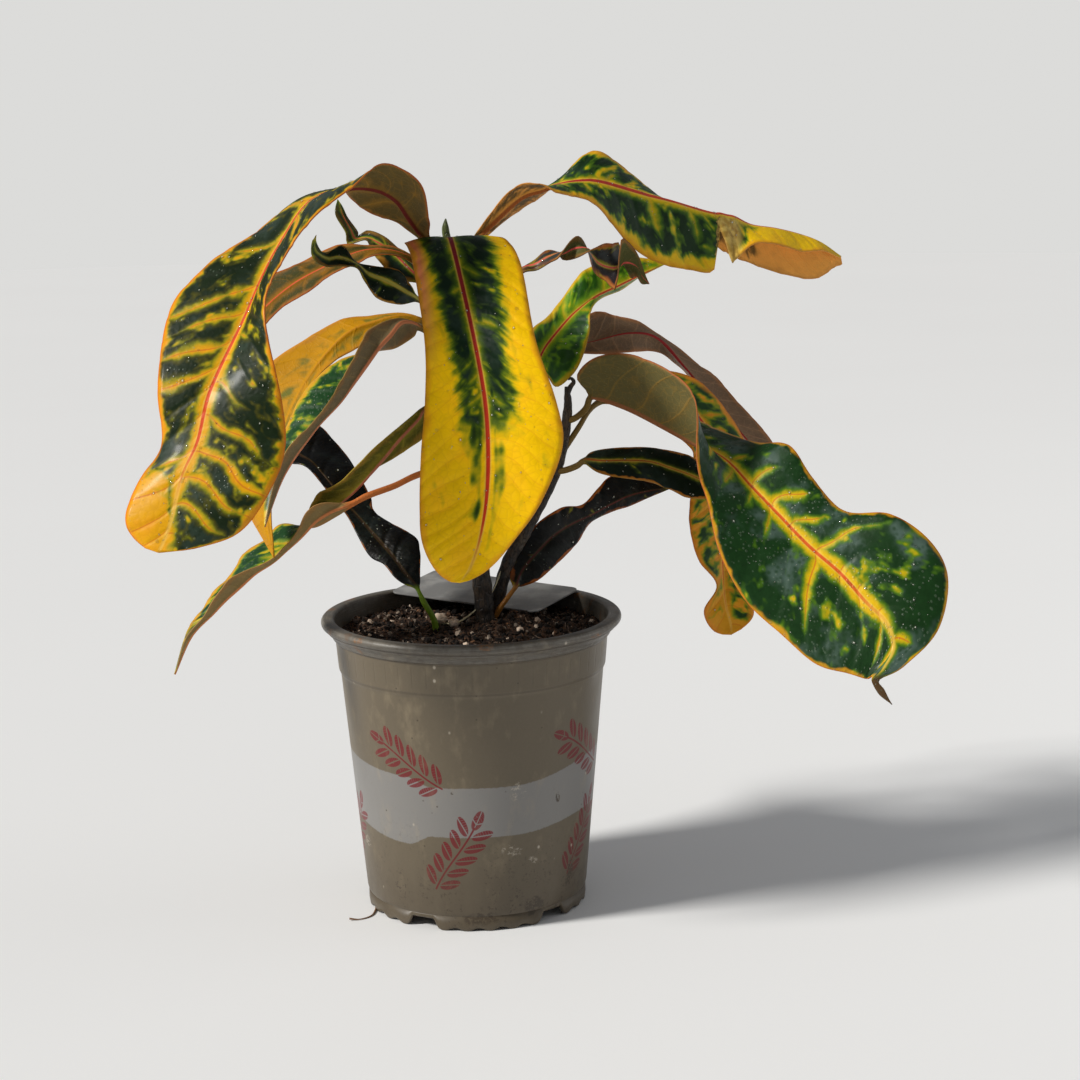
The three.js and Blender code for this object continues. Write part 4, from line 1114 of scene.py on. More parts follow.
        (112, 21, 124, 12, 1, 0, -10, -3, -1), (114, 19, 116, 9, 0, 2, -8, -1, -2),
        (114, 17, 112, 0, 0, 0, 0, 0, 0),
    ), Skin(
        seed=8, green=(30, 60, 26), mid=(80, 120, 26), gold=(214, 150, 32),
        under=(150, 112, 44), under_gold=(208, 142, 48), spacing=9, show=0.8, orange=0.6,
        spots=0.9,
    )),
    LeafShape("leaf_right_green", 0.06, 0.5, 3, 0.8,
        ((37, 12, 187), (42, 10, 188), (47, 9, 190)), (
        (50, 9, 192, 0, 1, 1, 0, -1, -1), (57, 8, 192, -1, 5, 4, 0, -3, -5),
        (76, 5, 192, 2, 6, 5, 0, -5, -8), (87, 3, 189, 3, 6, 6, -1, -5, -8),
        (98, 1, 185, 2, 5, 6, -3, -5, -8), (115, -3, 177, 0, 0, 0, 0, 0, 0),
    ), Skin(
        seed=9, green=(10, 26, 12), mid=(40, 70, 20), gold=(190, 140, 40),
        rib=(176, 96, 40), rib_tip=(190, 120, 44), margin=(120, 110, 44),
        rib_width=(0.4, 0.25), rib_band=(0.9, 0.9), outer=(1.25, 1.25), vein_share=0.0,
        margin_width=0.5,
    )),
    LeafShape("leaf_right_dark", 0.06, 0.6, 4, 0.8, ((9, 7, 122), (12, 5, 128), (15, 5, 132)), (
        (19, 7, 137, -1, 0, 0, 1, 0, 0), (20, 8, 140, -3, -1, 1, 2, 1, -3),
        (23, 11, 145, -5, -1, 2, 6, 1, -6), (29, 16, 151, -7, -2, 3, 6, 2, -8),
        (36, 21, 157, -6, -3, 7, 6, 2, -9), (44, 27, 161, -4, -3, 8, 3, 2, -8),
        (53, 33, 164, -4, -3, 5, 0, 2, -4), (63, 39, 168, -7, -3, 7, 0, 2, -4),
        (73, 45, 171, -7, -2, 9, 0, 2, -5), (91, 52, 173, 0, 0, 0, 0, 0, 0),
    ), Skin(
        seed=10, green=(5, 6, 4), mid=(34, 30, 20), gold=(150, 84, 34),
        rib=(70, 26, 28), rib_tip=(90, 30, 30), margin=(140, 44, 34),
        petiole=(150, 100, 42), under=(30, 26, 20), under_gold=(110, 70, 40),
        rib_width=(0.4, 0.25), rib_band=(-3, -3), outer=(1.2, 1.1), vein_share=0.0, spots=0.35,
        margin_width=0.7, bloom_and_sheen=0.1, gloss=0.14, dark=1.0,
    ), Slot.DARK),
    LeafShape("leaf_left_dark", 0.06, 0.6, 4, 0.8,
        ((-15, -1, 113), (-16, 0, 124), (-20, 0, 132)), (
        (-23, 2, 138, -1, 0, 0, 1, 0, 0), (-25, 3, 141, -3, -1, -1, 3, 1, 0),
        (-28, 5, 144, -5, -1, -1, 6, 1, 2), (-33, 10, 150, -5, -1, -2, 11, 1, 3),
        (-38, 15, 155, -7, -2, -3, 13, 2, 4), (-50, 26, 166, -4, -2, 0, 8, 3, 1),
        (-56, 31, 172, -3, -3, 0, 11, 4, 2), (-70, 42, 187, -2, -4, -1, 16, 6, 1),
        (-77, 48, 191, -4, -4, -3, 15, 6, 5), (-84, 53, 198, -3, -3, -4, 13, 5, 6),
        (-97, 63, 212, 0, 0, 0, 0, 0, 0),
    ), Skin(
        seed=11, green=(4, 4, 4), mid=(28, 30, 18), gold=(70, 60, 30),
        rib=(50, 34, 26), rib_tip=(60, 34, 28), margin=(24, 20, 16),
        petiole=(110, 140, 36), under=(22, 20, 17), under_gold=(60, 50, 34),
        rib_width=(0.4, 0.25), rib_band=(-3, -3), outer=(1.3, 1.3), vein_share=0.0, spots=0.0,
        margin_width=0.1, bloom_and_sheen=0.1, gloss=0.16, dark=1.0,
    ), Slot.DARK),
    LeafShape("leaf_left_golden", 0.05, 0.6, 3, 0.9, ((-4, 8, 240), (-12, 8, 248)), (
        (-19, 7, 254, 0, 1, 1, 0, -1, -1), (-28, 5, 256, 1, 4, 1, -1, -3, -2),
        (-38, 4, 254, -2, 6, 2, 1, -4, -6), (-49, 2, 250, -4, 8, 5, 4, -4, -6),
        (-59, -2, 241, -10, 9, 5, 4, -3, -2), (-68, -8, 229, -16, 10, 7, 4, -3, 1),
        (-75, -16, 215, -18, 10, 5, 2, -3, 0), (-80, -26, 200, -15, 8, 2, 4, -3, 0),
        (-83, -37, 185, -10, 5, -1, 3, -2, -1), (-79, -48, 163, 0, 0, 0, 0, 0, 0),
    ), Skin(
        seed=12, green=(70, 84, 30), mid=(120, 116, 30), gold=(208, 160, 30),
        # the underside's bright gold is partly the leaf's own colour and partly a painted glow of
        # sun shining through it
        margin=(212, 140, 60), under=(104, 104, 36), under_gold=(192, 136, 10),
        under_rib=(190, 130, 30), rib_width=(0.16, 0.1), outer=(0.6, 0.35),
        green_share=(0.05, 0.6), soft=1.6, show=1.0, spots=1.1, drops=20,
    ), Slot.GOLDEN),
    LeafShape("leaf_left_folded", 0.05, 0.6, 4, 0.9, ((-3, 8, 235), (-11, -1, 246)), (
        (-19, -7, 253, 0, 0, 1, 0, 0, -2), (-26, -12, 255, -2, 0, 2, 5, 1, -6),
        (-31, -16, 250, -7, -2, 4, 3, 3, -5), (-36, -20, 245, -6, -4, 4, 0, 10, -2),
        (-45, -27, 233, -5, -5, 2, -8, 14, 7), (-51, -33, 225, -3, -5, 2, -10, 14, 9),
        (-59, -39, 217, -3, -4, 1, -10, 13, 7), (-64, -44, 211, -3, -4, 2, -10, 11, 4),
        (-70, -48, 203, -3, -3, 3, -8, 8, 4), (-75, -52, 194, -2, -2, 2, -7, 5, 3),
        (-81, -59, 178, 0, 0, 0, 0, 0, 0),
    ), Skin(
        seed=13, green=(22, 64, 26), mid=(70, 116, 30), gold=(206, 176, 36),
        rib=(206, 130, 90), margin=(200, 160, 70), under=(118, 104, 76),
        under_gold=(170, 140, 84), under_rib=(206, 130, 90), rib_width=(0.6, 0.3),
        rib_band=(0.6, 0.6), spacing=9, vein_band=0.8, vein_share=0.5, show=0.15, spots=0.5,
        beads=1.0, drops=120,
    ), Slot.UNDERSIDE),
    LeafShape("leaf_left_olive", 0.05, 0.5, 3, 0.9, ((-3, 7, 221), (-11, 1, 220)), (
        (-18, -3, 217, -1, 0, 1, 1, 0, -1), (-21, -5, 213, -2, -1, 2, 4, 1, -6),
        (-28, -8, 206, -4, -2, 2, 3, 2, -5), (-36, -11, 197, -6, -3, 3, 1, 4, -2),
        (-46, -14, 186, -9, -3, 2, -3, 5, 3), (-53, -15, 180, -10, -3, 4, -2, 4, 4),
        (-60, -15, 175, -7, -2, 3, -2, 3, 3), (-67, -15, 172, 0, 0, 0, 0, 0, 0),
    ), Skin(
        seed=14, green=(46, 60, 18), mid=(92, 110, 26), gold=(190, 168, 36),
        rib=(190, 110, 90), margin=(170, 156, 50), under=(86, 84, 24),
        under_gold=(160, 146, 48), under_rib=(180, 110, 80), rib_width=(0.5, 0.3),
        spacing=8, vein_band=0.8, show=0.6, drops=20,
    ), Slot.UNDERSIDE),
    LeafShape("leaf_left_slender", 0.05, 0.6, 5, 1.0,
        ((0, 7, 193), (-20, -6, 190), (-31, -12, 186), (-42, -18, 183)), (
        (-50, -22, 180, 0, 0, 1, 0, 0, -2), (-57, -25, 178, -4, -3, 4, 0, 3, -4),
        (-64, -28, 174, -2, -4, 5, -3, 9, -4), (-70, -31, 168, -1, -4, 3, -9, 14, 3),
        (-76, -34, 163, 0, -4, 2, -11, 14, 2), (-81, -37, 159, 0, -4, 2, -13, 12, 1),
        (-88, -40, 155, -3, -4, 2, -11, 10, -1), (-94, -43, 150, -5, -4, 3, -11, 7, -3),
        (-100, -46, 145, -4, -3, 2, -9, 5, -2), (-105, -48, 140, -3, -2, 0, -8, 4, -3),
        (-114, -51, 131, -2, -1, 0, -3, 1, -1), (-121, -54, 116, 0, 0, 0, 0, 0, 0),
    ), Skin(
        seed=15, green=(20, 60, 24), mid=(76, 120, 30), gold=(206, 176, 36),
        rib=(206, 120, 60), margin=(196, 140, 80), petiole=(200, 116, 60),
        under=(136, 116, 76), under_gold=(176, 146, 80), under_rib=(206, 130, 80),
        rib_width=(0.5, 0.3), spacing=8, vein_band=1.0, show=0.15, spots=0.6, beads=1.0, drops=30,
    ), Slot.UNDERSIDE),
    LeafShape("leaf_left_curled", 0.04, 0.3, 3, 1.0, ((-4, 8, 251), (-12, 0, 258)), (
        (-19, -7, 264, 0, 0, -1, 0, 0, 1), (-24, -11, 268, -2, -4, -5, 2, 4, 2),
        (-32, -15, 273, -3, -5, -7, 5, 5, 4), (-39, -18, 276, -1, -4, -3, 2, 4, 3),
        (-43, -20, 280, 0, -3, -1, -1, 3, 1), (-50, -22, 283, 1, -3, -3, 1, 4, 5),
        (-55, -24, 283, -1, -2, -3, 1, 3, 3), (-59, -26, 286, -2, -1, -2, 2, 1, 0),
        (-60, -27, 290, -1, 0, 0, 1, 0, 0), (-59, -28, 293, 0, 0, 0, 0, 0, 0),
    ), Skin(
        seed=16, green=(10, 28, 16), mid=(40, 70, 24), gold=(180, 164, 60),
        rib=(190, 184, 84), rib_tip=(150, 150, 70), margin=(60, 80, 40),
        under=(60, 76, 36), rib_width=(0.7, 0.4), rib_band=(0.7, 0.7), outer=(1.3, 1.3),
        vein_share=0.1, spots=0.1, margin_width=0.5, drops=30,
    )),
    LeafShape("leaf_left_hooked", 0.04, 0.3, 3, 1.0, ((-5, 8, 260), (-13, 17, 266)), (
        (-19, 19, 270, -1, -1, -1, 1, 1, 1), (-24, 20, 275, -5, -4, -4, 2, 3, 3),
        (-31, 22, 282, -5, -4, -4, 2, 3, 2), (-37, 23, 286, -3, -3, -3, 2, 3, 3),
        (-42, 24, 288, 0, -5, 0, 0, 5, 3), (-47, 24, 288, -3, -2, -2, 1, 3, 1),
        (-49, 24, 292, -2, -2, -1, 3, 2, -1), (-52, 24, 298, -3, -1, 0, 2, 1, -1),
        (-53, 24, 302, -2, 0, 0, 1, 0, 0), (-54, 24, 305, 0, 0, 0, 0, 0, 0),
    ), Skin(
        seed=17, green=(16, 36, 18), mid=(60, 90, 26), gold=(150, 140, 40),
        rib=(210, 80, 74), rib_tip=(206, 90, 60), margin=(70, 84, 40),
        under=(80, 84, 40), rib_width=(0.5, 0.3), rib_band=(0.8, 0.8), outer=(1.2, 1.2),
        spacing=8, vein_band=0.5, vein_share=0.3, drops=20,
    )),
    LeafShape("leaf_left_orange", 0.05, 0.6, 4, 0.8, ((-5, 8, 268), (-14, 12, 274)), (
        (-21, 9, 279, 0, 1, 2, 0, -1, -1), (-29, 7, 283, -1, 5, 2, 1, -5, -1),
        (-39, 7, 284, -1, 7, 2, 1, -7, -2), (-48, 8, 282, -3, 8, 4, 2, -7, -3),
        (-59, 11, 277, -5, 9, 5, 3, -7, -3), (-71, 15, 271, -5, 9, 5, 4, -6, -4),
        (-81, 19, 264, -8, 9, 6, 3, -5, -4), (-91, 23, 255, -7, 8, 5, 3, -4, -4),
        (-101, 27, 244, -5, 5, 4, 3, -2, -2), (-108, 31, 233, 0, 0, 0, 0, 0, 0),
    ), Skin(
        seed=18, green=(52, 58, 16), mid=(110, 112, 28), gold=(172, 116, 20),
        margin=(206, 80, 40), under=(58, 56, 14), under_gold=(150, 100, 18),
        under_rib=(196, 84, 46), rib_width=(0.25, 0.2), outer=(0.97, 0.9),
        green_share=(-0.2, 0.9), soft=1.6, show=0.7, lines=0.2, spots=0.6,
    ), Slot.GOLDEN),
    LeafShape("leaf_back_upper", 0.06, 1.2, 4, 0.6, ((-4, 8, 246), (-4, 16, 256)), (
        (-4, 24, 262, -3, 0, 0, 3, 0, 0), (-3, 34, 266, -16, 3, 2, 15, -3, 1),
        (0, 50, 266, -22, 4, 1, 21, -4, 2), (4, 68, 254, -23, 4, -1, 22, -2, 3),
        (8, 82, 231, -20, 4, -1, 21, 1, 1), (11, 90, 204, -14, 3, 1, 15, 1, 0),
        (13, 94, 178, 0, 0, 0, 0, 0, 0),
    ), Skin(
        seed=19, green=(14, 38, 20), rib_width=(0.7, 0.4), outer=(0.85, 0.6), spacing=9,
        vein_band=0.8, feather=3, soft=1.8, spots=0.5, drops=30,
    )),
    LeafShape("leaf_back_lower", 0.06, 0.9, 4, 0.6, ((-1, 7, 206), (2, 17, 216)), (
        (3, 25, 220, -2, 0, 0, 2, 0, 0), (6, 37, 221, -11, 2, 1, 12, -1, 0),
        (9, 53, 212, -15, 3, -1, 16, 0, 2), (11, 65, 193, -14, 3, -2, 15, 2, 0),
        (13, 71, 172, -9, 2, 0, 10, 1, 0), (14, 74, 152, 0, 0, 0, 0, 0, 0),
    ), Skin(
        seed=20, green=(24, 34, 16), rib_width=(0.7, 0.4), spacing=12, vein_share=0.85,
        spots=0.5, drops=30,
    )),
)


@dataclass
class Foliage:
    """All the leaves, with the water drops on them."""

    drop_radius: tuple[float, float] = (0.3, 1.0)
    drop_height: float = 0.55  # of its radius
    drop_stretch: tuple[float, float] = (0.9, 1.35)
    drop_rings: tuple[float, ...] = (0.42, 0.78, 1.0)  # radius of each, from the top down
    drop_sides: int = 8

    def build(self) -> None:
        """Makes every leaf and one mesh of all the drops."""
        rng = np.random.default_rng(5)
        places = []
        for shape in LEAVES:
            sheet = LeafSheet(shape)
            sheet.make()
            places.append(sheet.spots_for_drops(rng))
        self._drops(np.concatenate(places), rng)

    def _drops(self, places: np.ndarray, rng: np.random.Generator) -> None:
        """Water drops: domes of three rings on a foot just under the leaf's surface, the longer
        ones with a painted glint on top.

        A ring of radius s x the drop's is sqrt(1 - s squared) x the dome's height up, and is
        stretched a little along the leaf.

        Args:
            places: Point, normal and along of each drop.
            rng: Source of the random sizes.
        """
        point, normal, along = places[:, :3], places[:, 3:6], places[:, 6:]
        beside = unit(np.cross(normal, along))
        along = np.cross(beside, normal)
        low, high = self.drop_radius
        size = low + (high - low) * rng.uniform(0, 1, len(places)) ** 3
        stretch = rng.uniform(*self.drop_stretch, len(places))
        lean = np.array(self.drop_rings)[None, :, None, None]
        turn = ring_angles(self.drop_sides)[None, None, :, None]
        radius = size[:, None, None, None]
        flat = along[:, None, None] * np.cos(turn) * stretch[:, None, None, None]
        flat = flat + beside[:, None, None] * np.sin(turn)
        height = np.sqrt(1 - lean**2) * self.drop_height * radius - 0.04
        rings = point[:, None, None] + flat * lean * radius + normal[:, None, None] * height
        top = point + normal * (size * self.drop_height)[:, None]
        foot = point - normal * 0.05
        rings = rings.reshape(len(places), -1, 3)
        points = np.concatenate([rings, top[:, None], foot[:, None]], 1)
        count = points.shape[1]
        one = skin_faces(len(self.drop_rings), self.drop_sides)
        faces = [[i * count + v for v in face] for i in range(len(places)) for face in one]
        long = (stretch > 1.1).astype(float)
        painted_glint_share = np.zeros((len(places), count, 3))
        painted_glint_share[:, -2, 0] = long  # painted highlight: a white glint on the top of the longer drops
        painted_glint_share[:, :self.drop_sides, 0] = 0.5 * long[:, None]
        graph = Graph("water")
        painted_glint_level, _, _ = graph.attribute("painted_glint_share")
        # painted highlight: where the glint share is high the drop turns white and nearly opaque
        painted_glint = painted_glint_level.steps(0.3, 0.95)
        ripple = graph.noise(graph.place(), 0.7) * 0.05
        colour = graph.mix(painted_glint, (70, 74, 58), (240, 242, 226))
        water = graph.finish(Base_Color=colour, Roughness=0.05, Alpha=0.16 + painted_glint * 0.64,
                             Specular_IOR_Level=1.0, Normal=graph.bump(ripple, 0.3))
        Piece("water_drops", (points.reshape(-1, 3), faces), [water],
              attributes={"painted_glint_share": painted_glint_share.reshape(-1, 3)}).make("leaf_green")


# ---- pot ------------------------------------------------------------------------------


def rounded(profile: Sequence[tuple[float, float]], radius: float, steps: int = 4) -> np.ndarray:
    """A profile with its corners rounded.

    Each corner becomes a curve p(t) = (1-t)^2 a + 2t(1-t) corner + t^2 b, where a and b lie on its
    two sides, at the radius or at 0.45 of the side's length if that is less.

    Args:
        profile: Points (r, z) in mm; the first and the last stay as they are.
        radius: How far from its corner a curve starts, in mm.
        steps: Points on each curve, less one.

    Returns:
        The points of the rounded profile.
    """
    corner = np.array(profile, float)
    before, after = corner[:-2] - corner[1:-1], corner[2:] - corner[1:-1]
    reach_before = np.minimum(0.45 * np.linalg.norm(before, axis=1), radius)[:, None]
    reach_after = np.minimum(0.45 * np.linalg.norm(after, axis=1), radius)[:, None]
    a = corner[1:-1] + unit(before) * reach_before
    b = corner[1:-1] + unit(after) * reach_after
    t = np.linspace(0, 1, steps + 1)[None, :, None]
    curve = (1 - t) ** 2 * a[:, None] + 2 * t * (1 - t) * corner[1:-1][:, None] + t**2 * b[:, None]
    return np.concatenate([corner[:1], curve.reshape(-1, 2), corner[-1:]])


def lathe(profile: np.ndarray, columns: int) -> Mesh:
    """A profile turned round the z axis.

    Args:
        profile: Points (r, z), of which the first and the last lie at r = 0.
        columns: Points round the axis.

    Returns:
        The closed shape.
    """
    angle = ring_angles(columns)
    r, z = profile[1:-1, :1], profile[1:-1, 1:]
    points = np.stack(np.broadcast_arrays(r * np.cos(angle), r * np.sin(angle), z), -1)
    ends = [[0, 0, profile[0, 1]], [0, 0, profile[-1, 1]]]
    return np.concatenate([points.reshape(-1, 3), ends]), skin_faces(len(r), columns)


# marks on the pot: angle in degrees, height in mm, half width in degrees, half height in mm
SCUFFS = (
    (-156.6, 31.9, 4.0, 4.0), (-71.3, 35.6, 6.0, 3.0), (-68.2, 61.7, 4.5, 5.0),
    (-60.0, 30.0, 3.0, 2.0), (25.0, 52.0, 6.0, 4.0), (118.0, 84.0, 5.0, 3.5),
)
NICKS = (
    (-98.8, 62.7, 1.1, 1.0), (-34.0, 18.0, 5.0, 7.0), (-58.0, 9.0, 9.0, 4.0),
    (-47.0, 56.0, 1.5, 2.5), (-88.0, 5.5, 12.0, 3.5), (70.0, 11.0, 9.0, 5.0),
)
STAINS = (
    (-134.8, 126.8, 4.0, 1.3), (-83.2, 127.4, 5.5, 1.6), (-33.9, 124.8, 5.0, 1.8),
    (40.0, 126.5, 6.0, 1.5),
)


@dataclass(frozen=True)
class PotFinish:
    """Taupe plastic, pale band, printed sprigs, dust, soiling, painted groove shade, painted rim
    highlight.
    """

    plastic: Triple = (98, 88, 71)
    lip: Triple = (90, 86, 79)
    band: Triple = (126, 124, 121)
    ink: Triple = (106, 4, 17)
    dust: Triple = (166, 150, 122)
    soiling_and_shade: Triple = (64, 54, 42)
    splash: Triple = (48, 40, 32)
    stain: Triple = (146, 92, 34)
    scuff: Triple = (186, 176, 160)
    chip: Triple = (196, 186, 168)
    # pale wear, also used for the painted highlight along the rim's outer edge
    worn: Triple = (150, 146, 138)
    foot_radius: float = 48.3
    foot_height: float = 8.0
    widening: float = 0.0906  # mm of radius for each mm of height
    # rows of sprigs: how many, the first one's share of the way round, height in mm and lean
    sprigs: tuple[tuple[float, ...], ...] = ((5, 0.125, 33.0, 28.0), (4, 0.172, 73.0, -62.0))

    def _patches(self, degrees: Wire, z: Wire, uneven: Wire,
                 spots: Sequence[tuple[float, ...]]) -> Wire:
        """1 inside ellipses on the wall, falling to 0 at their uneven edges.

        Args:
            degrees: Angle round the pot.
            z: Height in mm.
            uneven: What moves the edges in or out, as a share.
            spots: Angle, height, half width in degrees and half height in mm of each.

        Returns:
            The share at each place.
        """
        total = None
        for angle, height, wide, tall in spots:
            across = (degrees - angle) * (1 / wide)
            up = (z - height) * (1 / tall)
            spot = (across * across + up * up + uneven).falls(0.2, 0.9)
            total = spot if total is None else total.most(spot)
        return total

    def _sprig(self, graph: Graph, flat: Wire, high: Wire, lean: float) -> Wire:
        """A sprig: a stem with pairs of oval leaflets, each with a bare line down its middle.

        Args:
            graph: The pot's graph; not used.
            flat: Distance in mm round the pot from the sprig's centre.
            high: Height in mm above it.
            lean: How far it leans from upright, in degrees.

        Returns:
            1 where there is ink.
        """
        c, s = math.cos(math.radians(lean)), math.sin(math.radians(lean))
        out = flat * c - high * s
        up = flat * s + high * c
        out = abs(out - (up * 0.11).sine() * 1.2)
        stem = out.falls(0.3, 0.5) * abs(up).falls(16.5, 17.0)
        pitch = 6.6
        rise = up - out * 0.7 + 1.6
        step = (rise / pitch + 0.5).floor()
        across = (rise - step * pitch) * 0.82
        along = (out - 4.6) * 1.22
        oval = (along * along) / 19.0 + (across * across) / 4.6
        leaflet = oval.falls(0.85, 1.05) * abs(step).falls(2.0, 2.1)
        tip = (up - 20.0) * (up - 20.0) / 22.0 + out * out / 5.0
        leaflet = leaflet.most(tip.falls(0.85, 1.05))
        bare = abs(across).steps(0.15, 0.35).least(abs(out).steps(0.1, 0.3))
        hatch = (along * 0.9 + abs(across) * 0.8).fraction() - 0.5
        bare = bare * (0.7 + abs(hatch).steps(0.06, 0.16) * 0.3)
        return stem.most(leaflet * bare)

    def _printed(self, graph: Graph, turn: Wire, z: Wire) -> Wire:
        """Sprigs in rows round the pot, each in the middle of an equal share of its row.

        Args:
            graph: The pot's graph.
            turn: Angle round the pot in radians.
            z: Height in mm.

        Returns:
            1 where there is ink.
        """
        ink = None
        for count, first, level, lean in self.sprigs:
            cell = (turn * (count / TURN) - first * count + 0.5).fraction() - 0.5
            radius = self.foot_radius + self.widening * (level - self.foot_height)
            sprig = self._sprig(graph, cell * (TURN * radius / count), z - level, lean)
            ink = sprig if ink is None else ink.most(sprig)
        return ink

    def _band(self, degrees: Wire, z: Wire) -> Wire:
        """The pale band, between edges that rise and fall round the pot.

        Args:
            degrees: Angle round the pot.
            z: Height in mm.

        Returns:
            1 in the band.
        """
        top = 71.5 - degrees.steps(-178.0, -121.0) * 3.2 - degrees.steps(-121.0, -108.0) * 3.7
        top = top + degrees.steps(-72.0, -20.0) * 6.0 + degrees.steps(60.0, 170.0) * 0.9
        foot = 43.0 - degrees.steps(-178.0, -123.0) * 5.0 + degrees.steps(-122.0, -109.0) * 4.6
        foot = foot + degrees.steps(-70.0, -25.0) * 3.4 - degrees.steps(30.0, 170.0) * 3.0
        return z.steps(foot - 0.3, foot + 0.3) * z.falls(top - 0.3, top + 0.3)

    def material(self) -> bpy.types.Material:
        """Plastic, band and print, then scuffs, stains, dust, soiling, painted groove shade and a
        painted rim highlight.

        Returns:
            The pot's material.
        """
        graph = Graph("pot_plastic")
        place = graph.place()
        x, y, z = graph.parts(place)
        r = (x * x + y * y).power(0.5)
        turn = y.angle_to(x)
        degrees = turn * (360 / TURN)
        cloud = graph.noise(place, 30.0, 3.0) - 0.5
        grain = graph.noise(place, 1.1, 2.0) - 0.5
        smudge = graph.noise(graph.vector(x, y, z * 0.5), 9.0, 4.0, 0.6) - 0.5
        worn = graph.noise(place, 3.2, 5.0, 0.75).steps(0.3, 0.38)
        over = z.steps(118.6, 119.6)  # above the collar
        uneven = (graph.noise(place, 3.6, 3.0) - 0.5) * 3.4
        flaked = graph.noise(graph.vector(x, y, z * 1.6), 2.0, 5.0, 0.75).steps(0.5, 0.56)
        nicked = graph.noise(place, 1.4, 3.0, 0.7).steps(0.4, 0.5)
        blotched = graph.noise(place, 2.0, 4.0, 0.7).steps(0.42, 0.58)
        scuffs = self._patches(degrees, z, uneven, SCUFFS) * flaked
        nicks = self._patches(degrees, z, uneven, NICKS) * nicked
        stains = self._patches(degrees, z, uneven, STAINS) * blotched
        splash = graph.noise(place, 1.6, 4.0, 0.7).steps(0.56, 0.62) * z.falls(6.0, 60.0)
        tick = abs((turn * (57.0 / TURN)).fraction() - 0.5).steps(0.42, 0.48)
        tick = tick * (z.steps(107.5, 109.0) * z.falls(116.0, 118.0))
        # painted shade: dark lines in the collar's grooves and under the lip's bead, in the
        # soiling colour
        ridge = abs(z - 105.6).falls(0.2, 0.8).most(abs(z - 118.9).falls(0.2, 0.7))
        ridge = ridge.most(abs(z - 123.9).falls(0.15, 0.6) * r.steps(62.0, 62.6))
        # the rim's outer top edge is paler: partly wear, partly a painted highlight
        rubbed_and_lit_rim = abs(z - 127.0).falls(0.2, 1.1) * r.steps(63.4, 64.2) * (smudge + 0.7)
        chips = graph.cells(graph.vector(x, y, z * 0.8), 13.0).falls(0.02, 0.07)
        specks = graph.cells(place, 6.0).falls(0.05, 0.09)
        scored = graph.noise(graph.vector(r * 3.4, z * 3.4, turn * 5.0), 1.0, 3.0) * over
        colour = graph.coats(
            graph.tint(self.plastic, 1.0 + cloud * 0.2 + grain * 0.12),
            (self._band(degrees, z + grain * 0.8) * (0.75 + worn * 0.2), self.band),
            (self._printed(graph, turn, z) * worn * 0.94, self.ink),
            (over * 0.85, self.lip),
            (scuffs * 0.55, self.scuff),
            (nicks * 0.9, self.soiling_and_shade),
            (stains * 0.8, self.stain),
            (smudge.steps(0.02, 0.3) * 0.3, self.dust),
            (z.falls(2.0, 46.0) * (smudge + 0.6) * 0.75, self.soiling_and_shade),
            (splash * smudge.steps(-0.1, 0.1) * 0.6, self.splash),
            (over * graph.noise(place, 12.0, 3.0).steps(0.62, 0.7) * 0.4, self.stain),
            (tick * 0.12, self.soiling_and_shade),
            # painted shade in the grooves
            (ridge * (over * 0.3 + 0.35), self.soiling_and_shade),
            (rubbed_and_lit_rim * 0.5, self.worn),
            (chips * smudge.steps(-0.08, 0.08) * 0.7, self.chip),
            (specks * smudge.steps(-0.05, 0.1) * 0.75, self.soiling_and_shade),
            (scored.steps(0.54, 0.66) * 0.3, self.worn),
            (graph.noise(place, 3.0, 4.0, 0.7).steps(0.45, 0.6) * over * 0.35, self.soiling_and_shade),
        )
        relief = grain * 0.04 + smudge * 0.12 - tick * 0.08 - ridge * 0.15
        relief = relief + scored * 0.12
        return graph.finish(Base_Color=colour, Roughness=0.42 + cloud * 0.1 + smudge * 0.3,
                            Normal=graph.bump(relief, 0.7), Specular_IOR_Level=0.38)


